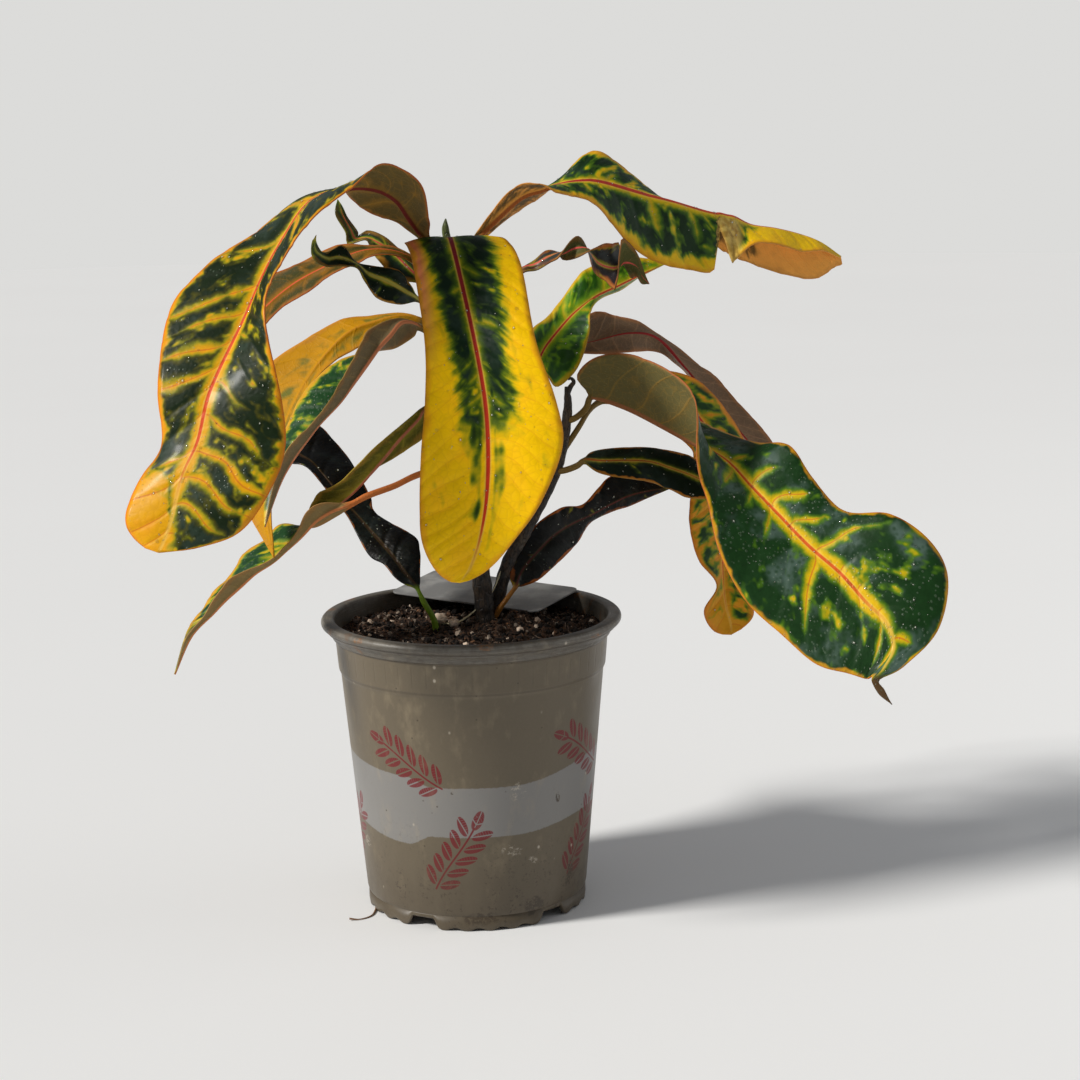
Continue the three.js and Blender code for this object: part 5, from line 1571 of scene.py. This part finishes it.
@dataclass
class Pot:
    """A tapered plastic pot: wall, collar and rolled lip, and a scalloped ring under its foot."""

    columns: int = 240
    corner: float = 0.7  # radius of the profile's corners
    longest: float = 12.0  # a longer side of the profile is cut in as many parts as that
    profile: tuple[tuple[float, float], ...] = (
        (0, 0), (30, 0), (32, 5), (46.7, 5), (47.9, 6.6), (48.3, 8), (57, 104), (57.9, 105.8),
        (59, 119), (60.3, 119.6), (60.8, 121.4), (63.1, 123.2), (63.2, 124.1), (64.4, 124.5),
        (65, 125.4), (64.9, 126.8), (63.9, 127.8), (62.8, 128), (60.4, 128), (59.3, 127.4),
        (58.7, 124), (57.8, 118), (56.7, 106.4), (55.8, 103.4), (47.1, 9.2), (46.2, 7.2),
        (33, 7.2), (31, 2.2), (0, 2.2),
    )
    ring_radius: float = 47.8
    ring_top: float = 6.8
    ring: tuple[tuple[float, float], ...] = (
        (0, 1.2), (0, 0.5), (0.25, 0.1), (0.9, 0), (1.55, 0.1), (1.8, 0.5), (1.8, 1.2), (1.8, 9),
        (0, 9),
    )  # its section: how far in from its radius, and how high above its lower edge
    lobes: int = 30
    lobe_depth: float = 1.3
    feet: int = 5
    gap_height: float = 4.8
    gap_share: float = 0.13
    first_gap: float = -118.0  # degrees
    drains: int = 6
    drain_ring: float = 38.0
    drain: tuple[tuple[float, float], ...] = ((0, 3.0), (4.0, 3.0), (4.0, 9.5), (0, 9.5))

    def _ring(self) -> Mesh:
        """The foot ring.

        Its lower edge rises by lobe_depth x sin(lobes x angle / 2) squared, and up to gap_height
        in the gaps between its feet.

        Returns:
            The ring.
        """
        columns = 3 * self.columns
        angle = ring_angles(columns)
        turned = angle - math.radians(self.first_gap)
        share = (turned * self.feet / TURN) % 1
        opened = 1 - ease(np.minimum(share, 1 - share), self.gap_share / 2, self.gap_share)
        lobe = self.lobe_depth * np.sin(self.lobes * turned / 2) ** 2
        edge = np.minimum(lobe + self.gap_height * opened, self.gap_height)
        inward, up = np.hsplit(np.array(self.ring), 2)
        r = self.ring_radius - inward
        z = np.minimum(up + edge, self.ring_top)
        points = np.stack(np.broadcast_arrays(r * np.cos(angle), r * np.sin(angle), z), -1)
        rows = len(up)
        faces = grid_faces(rows + 1, columns, closed=True) % (rows * columns)
        return points.reshape(-1, 3), faces.tolist()

    def build(self) -> None:
        """Makes the pot, with its drain holes cut, and its foot ring."""
        wall = rounded(self.profile, self.corner, 3)
        parts = int(self.longest)
        stops = [np.arange(parts) / parts if side >= self.longest else np.zeros(1)
                 for side in np.diff(run_of(wall))]
        stops = np.concatenate([i + stop for i, stop in enumerate(stops)] + [[len(stops)]])
        index = np.arange(len(wall))
        wall = np.column_stack([np.interp(stops, index, line) for line in wall.T])
        finish = PotFinish().material()
        piece = Piece("nursery_pot", lathe(wall, self.columns), [finish]).make("pot", "pot")
        self._cut_drains(piece)
        Piece("nursery_pot_foot", self._ring(), [finish]).make("pot", "pot")

    def _cut_drains(self, piece: bpy.types.Object) -> None:
        """Cuts round holes through the raised floor near the foot.

        Args:
            piece: The pot, whose mesh is replaced.
        """
        points, faces = lathe(np.array(self.drain), 40)
        turns = ring_angles(self.drains)
        spots = self.drain_ring * np.column_stack([np.cos(turns), np.sin(turns), 0 * turns])
        cutter = placed("drain_cutter", solid("drain_cutter", joined([
            (points + spot, faces) for spot in spots])))
        cut = piece.modifiers.new("drain", "BOOLEAN")
        cut.operation, cut.object, cut.solver = "DIFFERENCE", cutter, "EXACT"
        graph = bpy.context.evaluated_depsgraph_get()
        cut_mesh = bpy.data.meshes.new_from_object(piece.evaluated_get(graph))
        piece.modifiers.remove(cut)
        piece.data = cut_mesh
        bpy.data.objects.remove(cutter)
        LOG.info("drain holes cut: %d faces", len(cut_mesh.polygons))


# ---- soil -----------------------------------------------------------------------------


def soil_height(x: np.ndarray, y: np.ndarray) -> np.ndarray:
    """Height of the soil's surface: a level, a mound at (18, 5) and waves for lumps.

    Args:
        x: Across, in mm.
        y: Back, in mm.

    Returns:
        The height in mm.
    """
    level, mound, spread = 120, 5, 17
    mounded = mound * np.exp(-((x - 18) ** 2 + (y - 5) ** 2) / spread**2)
    lumps = np.sin(0.31 * x + 1.3) * np.sin(0.27 * y + 0.4)
    lumps = lumps + 0.6 * np.sin(0.73 * x + 0.41 * y) * np.sin(0.69 * y - 0.23 * x + 2)
    lumps = lumps + 0.4 * np.sin(1.3 * x + 0.7) * np.sin(1.2 * y + 0.5 * x)
    return level + mounded + 1.1 * lumps


@dataclass
class Soil:
    """Dark potting soil: its body, its crumbs, bits of perlite and fibres."""

    radius: float = 57.3
    columns: int = 220
    rows: int = 90  # on top
    edge_rows: int = 4  # of those, beside the wall
    edge_height: float = 121.5  # at most
    wall: tuple[tuple[float, float], ...] = (
        (57.2, 117.0), (56.2, 106.2), (55.3, 103.4), (46.7, 9.6), (45.8, 7.6), (33.5, 7.6),
        (31.4, 2.6), (0.5, 2.6),
    )
    # name, how many, least radius, greatest radius, skew and paleness
    lumps: tuple[tuple, ...] = (
        ("soil_crumbs", 3400, 0.3, 1.8, 3.0, 0.0),
        ("soil_bark_bits", 260, 0.4, 1.5, 2.0, 0.4),
        ("soil_grit", 80, 0.5, 1.7, 2.0, 0.95),
    )
    fibres: int = 150
    blobs: tuple[tuple[float, ...], ...] = (
        (-14.1, 8.6, 2.9), (-7.8, 4.2, 2.4), (-1.5, -33.0, 1.2), (21.0, -12.0, 1.5),
    )  # pale ones: x, y and radius

    def _finish(self) -> bpy.types.Material:
        """Dark brown-black peat, with a random brightness on each crumb, and pale perlite.

        Returns:
            The material.
        """
        graph = Graph("potting_soil")
        place = graph.place()
        shade, pale, _ = graph.attribute("shade")
        coarse = graph.noise(place, 5.0, 4.0, 0.65)
        fine = graph.noise(place, 0.8, 3.0, 0.7)
        peat = graph.mix(coarse.steps(0.35, 0.7), (15, 9, 6), (46, 31, 21))
        peat = graph.mix(fine.steps(0.5, 0.75) * 0.6, peat, (104, 72, 46))
        perlite = graph.tint((236, 214, 192), 0.75 + fine * 0.5)
        colour = graph.mix(pale, graph.tint(peat, 0.25 + shade * 3.4), perlite)
        relief = coarse * 0.8 + fine * 0.5
        return graph.finish(Base_Color=colour, Roughness=0.78 + fine * 0.2,
                            Normal=graph.bump(relief, 0.9), Specular_IOR_Level=0.3)

    def _body(self) -> Mesh:
        """The soil down to the pot's floor, in one skin.

        On top its height is soil_height plus small bumps, held down beside the wall; below, it
        follows the pot's inner wall and floor.

        Returns:
            The body.
        """
        top, wall = self.rows, np.array(self.wall)
        r = np.r_[np.linspace(0.6, self.radius, top), wall[:, 0]][:, None]
        angle = ring_angles(self.columns)
        x, y = r * np.cos(angle), r * np.sin(angle)
        bumps = 0.35 * np.sin(2.3 * x + 1.7 * np.sin(1.1 * y))
        bumps = bumps * np.sin(2.1 * y + 1.3 * np.sin(0.9 * x))
        z = soil_height(x, y) + bumps
        z[top - self.edge_rows:] = np.minimum(z[top - self.edge_rows:], self.edge_height)
        z[top:] = wall[:, 1:]
        ends = [[0, 0, float(z[0].mean())], [0, 0, wall[-1, 1]]]
        points = np.concatenate([np.stack([x, y, z], -1).reshape(-1, 3), ends])
        return points, skin_faces(len(r), self.columns)

    def _crumbs(self, rng: np.random.Generator, count: int, low: float, high: float,
                skew: float) -> Mesh:
        """Rough lumps of twenty faces lying on the surface.

        A lump's points are an icosahedron's, each moved out or in at random, squashed, turned and
        set on the soil a third of its radius high.

        Args:
            rng: Source of the random draws.
            count: How many.
            low: Least radius in mm.
            high: Greatest radius in mm.
            skew: The higher, the fewer big ones.

        Returns:
            The lumps, twelve points each.
        """
        golden = (1 + 5**0.5) / 2
        base = [corner for s in (-1, 1) for t in (-golden, golden)
                for corner in ((0, s, t), (s, t, 0), (t, 0, s))]
        base = unit(np.array(base, float))
        near = np.linalg.norm(base[:, None] - base[None], axis=2)
        side = near[near > 0.1].min() * 1.01
        faces = [
            (a, b, c) for a in range(12) for b in range(a + 1, 12) for c in range(b + 1, 12)
            if max(near[a, b], near[b, c], near[a, c]) < side
        ]
        size = low + (high - low) * rng.uniform(0, 1, count) ** skew
        away = (self.radius - 0.6 - size) * np.sqrt(rng.uniform(0, 1, count))
        angle = rng.uniform(0, TURN, count)
        x, y = away * np.cos(angle), away * np.sin(angle)
        z = soil_height(x, y) + size * 0.3
        axes, _ = np.linalg.qr(rng.normal(size=(count, 3, 3)))
        stretch = rng.uniform(0.55, 1.25, (count, 1, 3))
        rough = rng.uniform(0.6, 1.25, (count, 12, 1))
        lumps = (base[None] * rough * stretch) @ axes * size[:, None, None]
        points = lumps + np.stack([x, y, z], -1)[:, None]
        every = np.arange(count)[:, None, None] * 12 + np.array(faces)[None]
        return points.reshape(-1, 3), every.reshape(-1, 3).tolist()

    def build(self) -> None:
        """Makes the soil and what lies on it.

        The attribute shade holds how light a point is and how pale.
        """
        rng = np.random.default_rng(11)
        finish = self._finish()

        def piece(name: str, shape: Mesh, shade: Sequence, smooth: bool = True) -> None:
            """Makes one piece of the soil."""
            Piece(name, shape, [finish], None, {"shade": shade}, smooth).make("soil", "soil")

        piece("soil_body", self._body(), (0.45, 0.0, 0.0))
        for name, count, low, high, skew, pale in self.lumps:
            shape = self._crumbs(rng, count, low, high, skew)
            shade = np.repeat(rng.uniform(0, 1, (count, 1)) ** 3.4, 12, 0)
            piece(name, shape, np.hstack([shade, pale * (0.5 + 0.5 * shade), shade]), False)
        piece("soil_fibres", self._fibres(rng), (0.9, 0.12, 0.0))
        piece("soil_pale_lumps", self._pale_blobs(), (0.9, 0.9, 0.0))

    def _pale_blobs(self) -> Mesh:
        """Pale lumps beside the stem.

        A point is the lump's centre plus radius x (1 + 0.22 sin(3 a + 2 b) cos(4 b)) times the
        direction of angles a round and b up, squashed to 0.75 of its height.

        Returns:
            The lumps.
        """
        rows, columns = 11, 20
        a = ring_angles(columns)[None, :]
        b = np.linspace(-1.45, 1.45, rows)[:, None]
        parts = []
        for x, y, radius in self.blobs:
            r = radius * (1 + 0.22 * np.sin(3 * a + 2 * b + x) * np.cos(4 * b + y))
            centre = np.array([x, y, float(soil_height(np.array(x), np.array(y))) + 1.1 * radius])
            flat = r * np.cos(b)
            lump = np.stack([flat * np.cos(a), flat * np.sin(a), 0.75 * r * np.sin(b)], -1)
            points = np.concatenate([lump.reshape(-1, 3), lump[[0, -1]].mean(1)]) + centre
            parts.append((points, skin_faces(rows, columns)))
        return joined(parts)

    def _fibres(self, rng: np.random.Generator) -> Mesh:
        """Peat fibres: short bent threads lying on the surface.

        Args:
            rng: Source of the random draws.

        Returns:
            The fibres.
        """
        s = np.linspace(-0.5, 0.5, 5)
        parts = []
        for _ in range(self.fibres):
            away = 50 * math.sqrt(rng.uniform())
            angle, turn = rng.uniform(0, TURN), rng.uniform(0, TURN)
            length = rng.uniform(3, 10)
            bend = rng.uniform(-0.25, 0.25) * length
            x = away * math.cos(angle) + length * s * math.cos(turn) - bend * s**2 * math.sin(turn)
            y = away * math.sin(angle) + length * s * math.sin(turn) + bend * s**2 * math.cos(turn)
            route = np.stack([x, y, soil_height(x, y) + 0.35 + rng.uniform(0, 0.5, 5)], 1)
            parts.append(tube(route, np.full(5, rng.uniform(0.08, 0.22)), 4, 1.2))
        return joined(parts)


# ---- stem, card and small things ------------------------------------------------------


@dataclass
class Stem:
    """The trunk and the side shoot, with the rings that old leaves have left."""

    trunk: tuple[tuple[float, ...], ...] = (
        (7, 5, 98, 4.4), (6, 5, 124, 4.2), (3, 6, 159, 3.9), (-1, 7, 202, 3.7), (-4, 8, 245, 3.4),
        (-6, 8, 279, 2.8), (-7, 6, 292, 1.0),
    )  # x, y, z and radius
    shoot: tuple[tuple[float, ...], ...] = (
        (7, 7, 104, 3), (10, 9, 125, 3), (16, 10, 147, 2.8), (24, 11, 161, 2.6),
        (38, 12, 188, 2.3), (43, 12, 212, 2), (43, 12, 224, 1),
    )
    bud: tuple[tuple[float, ...], ...] = (
        (-7, 6, 288, 1.6), (-7.4, 5.6, 293, 1.5), (-7.2, 5.2, 297, 0.3),
    )
    hook: tuple[tuple[float, ...], ...] = (
        (43, 12, 221, 1.4), (44.6, 12, 224, 1.1), (46, 12, 226, 0.9), (44.8, 12, 227.6, 0.7),
        (43.6, 12, 226.9, 0.3),
    )

    def _bark(self) -> bpy.types.Material:
        """Dark corky bark, greener towards the top.

        Returns:
            The material.
        """
        graph = Graph("bark")
        place = graph.place()
        x, y, z = graph.parts(place)
        long = graph.vector(x, y, z * 0.35)
        cork = graph.noise(long, 2.2, 5.0, 0.7)
        cloud = graph.noise(place, 10.0)
        crack = graph.cells(long, 1.6, "DISTANCE_TO_EDGE").steps(0.0, 0.12)
        colour = graph.coats(
            graph.mix(cork.steps(0.4, 0.7), (20, 15, 10), (78, 60, 42)),
            (cloud.steps(0.52, 0.7) * 0.35, (112, 96, 72)),
            (z.steps(228.0, 284.0) * 0.8, (96, 110, 52)),
            ((1.0 - crack) * 0.5, (30, 23, 18)),
        )
        relief = cork * 0.5 + crack * 0.25
        return graph.finish(Base_Color=colour, Roughness=0.36 + cork * 0.4,
                            Normal=graph.bump(relief, 0.9), Specular_IOR_Level=0.5)

    def _part(self, lines: Sequence[Sequence[float]], gap: float) -> Mesh:
        """A tube whose radius swells by 9% in rings, and is a little rough between.

        Args:
            lines: Points of its middle in mm, each with a radius.
            gap: Distance between the rings in mm.

        Returns:
            The tube.
        """
        t = np.linspace(0, len(lines) - 1, 12 * len(lines))
        fine = catmull(np.array(lines, float), t)
        route, radius = fine[:, :3], fine[:, 3]
        s = run_of(route)
        swell = 0.09 * np.exp(-(((s % gap) - gap / 2) ** 2) / 1.2) + 0.02 * np.sin(1.9 * s)
        return tube(route, np.minimum(radius * (1 + swell), radius + 0.3), 28, 0.7)

    def build(self) -> None:
        """Makes the stem, with a small bud on each of its ends."""
        bud, hook = np.array(self.bud, float), np.array(self.hook, float)
        shape = joined([
            self._part(self.trunk, 9), self._part(self.shoot, 7),
            tube(bud[:, :3], bud[:, 3], 12, 0.6), tube(hook[:, :3], hook[:, 3], 10, 0.5),
        ])
        Piece("stem_bark", shape, [self._bark()]).make("stem", "stem")


@dataclass
class Card:
    """The grey plastic card that lies over the back of the rim, in mm and degrees."""

    length: float = 76
    width: float = 40
    corner: float = 4
    layers: tuple[tuple[float, float], ...] = (
        (0.3, 0), (0.08, 0.06), (0, 0.25), (0, 0.55), (0.08, 0.74), (0.3, 0.8),
    )  # how far in its outline is at each height through its thickness
    centre: tuple[float, float, float] = (5, 41.5, 128.2)
    turns: tuple[tuple[str, float], ...] = (("X", 4.4), ("Y", -0.8), ("Z", -30))

    def _shape(self) -> Mesh:
        """A rounded rectangle with softened edges, turned and set in place.

        Returns:
            The card.
        """
        steps = np.radians(np.linspace(0, 90, 9))
        outline = []
        for quarter, (sx, sy) in enumerate(((1, 1), (-1, 1), (-1, -1), (1, -1))):
            angle = steps + quarter * math.pi / 2
            x = sx * (self.length / 2 - self.corner) + self.corner * np.cos(angle)
            y = sy * (self.width / 2 - self.corner) + self.corner * np.sin(angle)
            outline.append(np.stack([x, y], 1))
        outline = np.concatenate(outline)
        inward = -unit(outline - outline.mean(0))
        count = len(outline)
        points = np.concatenate([
            np.column_stack([outline + inward * inset, np.full(count, z)])
            for inset, z in self.layers])
        top = len(points) - count
        faces = grid_faces(len(self.layers), count, closed=True).tolist()
        faces += [list(range(count))[::-1], list(range(top, len(points)))]
        turned = Matrix.Identity(3)
        for axis, degrees in self.turns:
            turned = turned @ Matrix.Rotation(math.radians(degrees), 3, axis)
        return points @ np.array(turned).T + self.centre, faces

    def build(self) -> None:
        """Makes the card: grey plastic with smudges and fine scuffs."""
        graph = Graph("card_plastic")
        place = graph.place()
        grain = graph.noise(place, 0.6, 3.0)
        smudge = graph.noise(place, 14.0, 4.0, 0.6)
        colour = graph.mix(smudge.steps(0.4, 0.7), (118, 118, 117), (152, 152, 150))
        scuff = graph.cells(place, 9.0, "DISTANCE_TO_EDGE").falls(0.0, 0.03)
        colour = graph.mix(scuff * grain.steps(0.5, 0.6) * 0.4, colour, (110, 108, 104))
        finish = graph.finish(Base_Color=colour, Roughness=0.4 + smudge * 0.25,
                              Normal=graph.bump(grain * 0.05 + smudge * 0.2, 0.5))
        Piece("grey_card", self._shape(), [finish], smooth=False).make("card", "plant_card")


@dataclass
class Litter:
    """A thin root on the floor, and a pale thread from the soil to the side shoot."""

    root: tuple[tuple[float, float, float], ...] = (
        (-38, 6, 4.6), (-41.5, -4, 2.6), (-44, -12, 0.5), (-44, -20, 0.35), (-45.5, -27, 0.35),
        (-50, -31, 0.4), (-54.5, -31.5, 0.9),
    )
    thread: tuple[tuple[float, float, float], ...] = (
        (-15, 9, 120.6), (-11, 7, 121.6), (-8, 4, 121.8), (-3, 3, 124.5), (1.5, 3, 128),
        (8.5, 5, 134.6), (13, 8, 144), (14.6, 9.4, 147.5),
    )

    def build(self) -> None:
        """Makes both."""
        for name, route, radius, base, slot in (
            ("stray_root", self.root, 0.45, (120, 88, 60), "soil"),
            ("pale_thread", self.thread, 0.4, (206, 196, 160), "stem"),
        ):
            graph = Graph(name)
            grain = graph.noise(graph.place(), 0.9, 3.0)
            colour = graph.tint(base, 0.6 + grain * 0.8)
            finish = graph.finish(Base_Color=colour, Roughness=0.5 + grain * 0.3,
                                  Normal=graph.bump(grain * 0.2, 0.6))
            radii = radius * (0.75 + 0.25 * np.cos(np.arange(len(route)) * 2.0))
            Piece(name, tube(np.array(route, float), radii, 10, 0.5), [finish]).make(slot)


# ---- studio ---------------------------------------------------------------------------


@dataclass
class Studio:
    """Camera, lights and floor. Places are in mm."""

    camera_at: tuple[float, float, float] = (30.3, -1000, 351.2)
    look_at: tuple[float, float, float] = (30.3, 0, 159.3)
    roll: float = -0.0170  # radians
    lens: float = 78.8
    plant: tuple[float, float, float] = (0, 0, 160)  # where the lights point
    sun_at: tuple[float, float, float] = (-680, -270, 700)
    sun: float = 3.5
    sun_width: float = 11  # degrees
    sun_colour: Sequence[float] = (1.0, 0.97, 0.92)
    fill_at: tuple[float, float, float] = (1400, 150, 500)
    fill: float = 3.0
    fill_width: float = 1.2  # m
    sky: float = 0.24
    sky_colour: Sequence[float] = (0.95, 0.97, 1.0, 1)
    paper: Sequence[float] = (0.716, 0.714, 0.7, 1)  # the background that the camera sees
    floor: float = 4  # radius in m

    def build(self) -> None:
        """Makes the camera at the photograph's angle, the lights and the floor."""
        scene = bpy.context.scene
        scene.view_settings.view_transform = "Standard"
        lens = bpy.data.cameras.new("camera")
        lens.lens, lens.sensor_width, lens.clip_end = self.lens, 36, 20
        scene.camera = self._aim(lens, self.camera_at, self.look_at, self.roll)
        sun = bpy.data.lights.new("sun", "SUN")
        sun.energy, sun.angle, sun.color = self.sun, math.radians(self.sun_width), self.sun_colour
        self._aim(sun, self.sun_at, self.plant)
        fill = bpy.data.lights.new("fill", "AREA")
        fill.energy, fill.size = self.fill, self.fill_width
        self._aim(fill, self.fill_at, self.plant)
        scene.world = self._world()
        self._floor()

    def _aim(self, data: bpy.types.ID, spot: Sequence[float], at: Sequence[float],
             roll: float = 0.0) -> bpy.types.Object:
        """Places a camera or a light so that it looks at a point, with its right side level.

        Args:
            data: The camera or light.
            spot: Where it stands.
            at: What it looks at.
            roll: Turn about its view, in radians.

        Returns:
            The object.
        """
        back = unit(np.array(spot, float) - at)
        right = unit(np.cross([0, 0, 1.0], back))
        up = np.cross(back, right)
        c, s = math.cos(roll), math.sin(roll)
        place = np.eye(4)
        place[:3, :3] = np.stack([c * right + s * up, c * up - s * right, back], 1)
        place[:3, 3] = np.array(spot) * MM
        aimed = placed(data.name, data)
        aimed.matrix_world = Matrix(place.tolist())
        return aimed

    def _world(self) -> bpy.types.World:
        """A pale sky that lights the plant, and plain paper in the camera's eye.

        Returns:
            The world.
        """
        world = bpy.data.worlds.new("studio")
        world.use_nodes = True
        tree = world.node_tree
        sky, paper = tree.nodes["Background"], tree.nodes.new("ShaderNodeBackground")
        sky.inputs[0].default_value, sky.inputs[1].default_value = self.sky_colour, self.sky
        paper.inputs[0].default_value = self.paper
        seen, blend = tree.nodes.new("ShaderNodeLightPath"), tree.nodes.new("ShaderNodeMixShader")
        for number, output in enumerate((seen.outputs["Is Camera Ray"], sky.outputs[0],
                                         paper.outputs[0])):
            tree.links.new(output, blend.inputs[number])
        tree.links.new(blend.outputs[0], tree.nodes["World Output"].inputs[0])
        return world

    def _floor(self) -> None:
        """A plain pale disc."""
        angle = ring_angles(96)
        points = self.floor * np.column_stack([np.cos(angle), np.sin(angle), 0 * angle])
        mesh = bpy.data.meshes.new("floor")
        mesh.from_pydata(points.tolist(), [], [list(range(len(points)))])
        graph = Graph("floor")
        soft = graph.noise(graph.place(), 400.0)
        colour = graph.mix(soft, (238, 239, 240), (241, 242, 243))
        mesh.materials.append(graph.finish(Base_Color=colour, Roughness=0.7))
        placed("floor", mesh)


def main() -> None:
    """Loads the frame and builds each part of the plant."""
    logging.basicConfig(level=logging.INFO, format="%(message)s")
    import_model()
    Studio().build()
    Pot().build()
    Soil().build()
    Stem().build()
    Card().build()
    Litter().build()
    Foliage().build()


if __name__ == "__main__":
    main()
